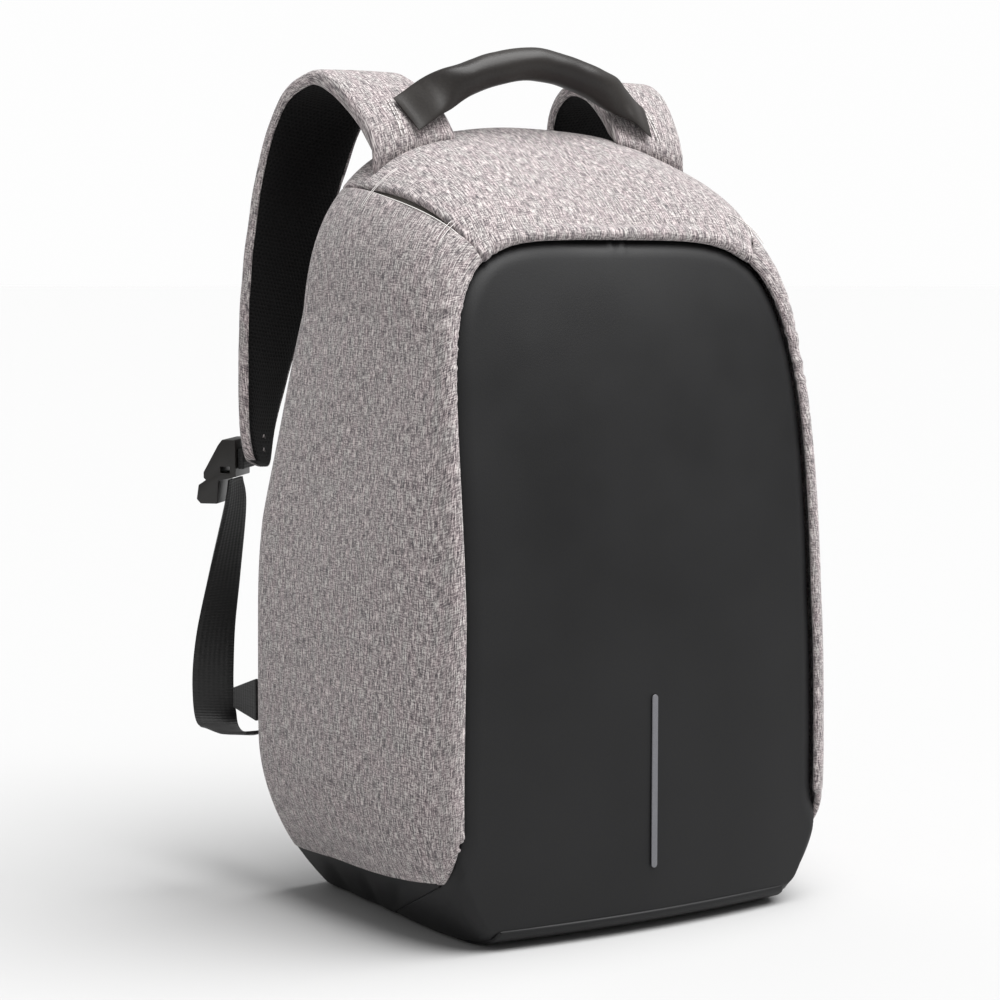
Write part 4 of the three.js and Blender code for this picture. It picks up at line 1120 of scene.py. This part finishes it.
def stitch_rows():
    """Rows of short stitches along the strap, just outside each end of the handle."""
    stitches = []
    line = band(strap_root, STRAP_ROWS, np.linspace(0.022, 0.135, 200))
    for gap in (3.2, 5.4):
        reach = (-abs(handle_end[0]) - gap - line["middle"][:, 0]) / line["across"][:, 0]
        crown = 0.7 * (1 - (reach / (line["wide"] * STRAP_WIDTH / 2)) ** 2)
        height = line["thick"] * STRAP_THICK / 2 + crown
        path = line["middle"] + line["across"] * reach[:, None] + line["face"] * (height + 0.35)[:, None]
        run = np.insert(np.cumsum(np.linalg.norm(np.diff(path, axis=0), axis=-1)), 0, 0)
        for start in np.arange(0, run[-1] - STITCH_LONG, STITCH_STEP):
            at = np.linspace(start, start + STITCH_LONG, 4)
            piece = np.stack([np.interp(at, run, path[:, k]) for k in range(3)], -1)
            for side in (-1, 1):
                stitches.append(tube("stitch", piece * (side, 1, 1), STITCH_RADIUS, 6))
    return finish_piece(joined("handle_stitches", stitches), pale_thread, "melange_fabric")


def bartacks():
    """Two small pointed tacks on the mesh near each strap's foot."""
    marks = []
    for t in (0.93, 0.965):
        f = band(strap_root, STRAP_ROWS, np.array([t]))
        base = f["middle"][0] - f["face"][0] * (f["thick"][0] * STRAP_THICK / 2 + 1.2)
        for way in (-1, 1):
            tip = base - f["run"][0] * 1.0
            end = base + f["run"][0] * 1.0 + f["across"][0] * 1.6 * way
            path = np.linspace(tip, end, 4)
            for side in (-1, 1):
                marks.append(tube("mark", path * (side, 1, 1), 0.28, 6))
    return finish_piece(joined("strap_bartacks", marks), grey_thread, "spacer_mesh")


stitch_rows()
bartacks()

# %% [markdown]
# Below the pad a tab of webbing carries the buckle, and a longer web runs from it down and
# forward to the rear seam. The web is a flat section swept along its line, with soft edges. The
# tabs, the buckle and the strip have simple forms that the CAD frame already holds, so they
# aren't modelled twice: their meshes are copied, merged, cleaned of needless edges and
# bevelled, as a moulded or folded edge is.

# %% Webbing, tabs and buckles
def web_section(wide, thick, count=28):
    half = [(0, thick)] + arc(-wide + thick, 0, thick, 90, 270, 6) + [(0, -thick)]
    return evenly_along(half + [(-x, y) for x, y in half[-2::-1]], count)


def webbing(word, side):
    t = np.linspace(0, 1, 160)
    f = band(strap_foot["middle"][0], WEB_ROWS, t)
    rings = [
        f["middle"][i] + q[:, :1] * f["across"][i] + q[:, 1:] * f["face"][i]
        for i in range(len(t))
        for q in [web_section(f["wide"][i] * WEB_WIDTH / 2, WEB_THICK / 2)]
    ]
    points = np.array(rings) * (-side, 1, 1)
    piece = close_tube(sheet_piece("webbing_" + word + "_woven", points))
    finish_piece(piece, nylon_web, "webbing", "webbing_" + word)


def from_frame(node, ending, bevel, material, slot):
    """A merged copy of a CAD node with rounded edges and a UV map by projection."""
    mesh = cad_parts[node].data.copy()
    piece = bpy.data.objects.new(node + ending, mesh)
    bpy.context.scene.collection.objects.link(piece)
    edit(
        piece,
        (bpy.ops.mesh.remove_doubles, {"threshold": 0.00001}),
        (bpy.ops.mesh.dissolve_limited, {"angle_limit": math.radians(2)}),
        (bpy.ops.uv.cube_project, {"cube_size": 1.0}),
    )
    modify(piece, "BEVEL", width=bevel * MM, segments=3, limit_method="ANGLE", angle_limit=math.radians(28))
    bpy.ops.object.shade_smooth_by_angle(angle=math.radians(40))
    return finish_piece(piece, material, slot, node)


for word, side in (("left", -1), ("right", 1)):
    webbing(word, side)
    from_frame("adjuster_" + word, "_moulded", 0.9, moulded_acetal, "buckle_plastic")
    from_frame("buckle_tab_" + word, "_folded", 0.5, nylon_web, "webbing")
    from_frame("anchor_tab_" + word, "_folded", 0.5, nylon_web, "webbing")
from_frame("reflective_strip", "_bonded", 0.25, bead_tape, "reflective_tape")

# %% [markdown]
# The camera stands where the photograph was taken from, found by fitting the bag's outline.
# The bag is lit as in a studio: an even pale room, and one large soft light from above, the
# front and the right, which makes the top much lighter than the left side. The backdrop that
# the camera sees is as bright as the lit floor, so the floor has no visible end.

# %% Camera
VIEW_TURN, VIEW_PITCH = math.radians(31.89), math.radians(5.44)
FOCAL_PIXELS, PICTURE_PIXELS, SENSOR = 2482.73, 1000, 36
CAMERA_DISTANCE, AIM_HEIGHT, AIM_LEFT, AIM_UP = 1443.21, 225, 31.82, 7.29
right = Vector((math.cos(VIEW_TURN), -math.sin(VIEW_TURN), 0))
back = Vector((
    -math.sin(VIEW_TURN) * math.cos(VIEW_PITCH), -math.cos(VIEW_TURN) * math.cos(VIEW_PITCH),
    math.sin(VIEW_PITCH),
))
above = back.cross(right)
aim = Vector((0, BODY_SHIFT, AIM_HEIGHT)) - right * AIM_LEFT + above * AIM_UP
bpy.ops.object.camera_add(location=(aim + back * CAMERA_DISTANCE) * MM)
camera = bpy.context.object
camera.matrix_world = Matrix.Translation((aim + back * CAMERA_DISTANCE) * MM) @ Matrix(
    (right, above, back)
).transposed().to_4x4()
camera.data.sensor_width = SENSOR
camera.data.lens = FOCAL_PIXELS / PICTURE_PIXELS * SENSOR
bpy.context.scene.camera = camera
print("camera at", [round(x, 3) for x in camera.location], "lens", round(camera.data.lens, 1))

# %% Floor and light
FILL, KEY, KEY_HEIGHT, KEY_TURN, KEY_SPREAD = 0.38, 5.4, 68, 42, 60
FLOOR_SHADE = 0.5
bpy.ops.object.select_all(action="DESELECT")
bpy.ops.mesh.primitive_circle_add(vertices=96, radius=40, fill_type="NGON", location=(0, 0, 0))
floor = bpy.context.object
floor.name = "floor"
paper, _, paper_shader = new_material("matt paper", 0.95, Specular_IOR_Level=0.1)
paper_shader.inputs["Base Color"].default_value = (FLOOR_SHADE, FLOOR_SHADE, FLOOR_SHADE, 1)
floor.data.materials.append(paper)

bpy.ops.object.light_add(type="SUN")
key = bpy.context.object
key.data.energy = KEY
key.data.angle = math.radians(KEY_SPREAD)
key.rotation_euler = (math.radians(90 - KEY_HEIGHT), 0, math.radians(KEY_TURN))

world = bpy.data.worlds.new("pale room")
bpy.context.scene.world = world
world.use_nodes = True
tree = world.node_tree
tree.nodes.clear()
backdrop = FLOOR_SHADE * (FILL + KEY / math.pi * math.sin(math.radians(KEY_HEIGHT)))
room = add_node(tree, "ShaderNodeBackground", {"Color": (1, 1, 1, 1), "Strength": FILL})
screen = add_node(tree, "ShaderNodeBackground", {"Color": (1, 1, 1, 1), "Strength": backdrop})
seen = add_node(tree, "ShaderNodeLightPath", {}).outputs["Is Camera Ray"]
either = add_node(tree, "ShaderNodeMixShader", {0: seen, 1: room.outputs[0], 2: screen.outputs[0]})
add_node(tree, "ShaderNodeOutputWorld", {"Surface": either.outputs[0]})
bpy.context.scene.view_settings.view_transform = "Standard"
bpy.context.scene.view_settings.look = "None"
print("the lit floor and the backdrop shine at", round(backdrop, 3))
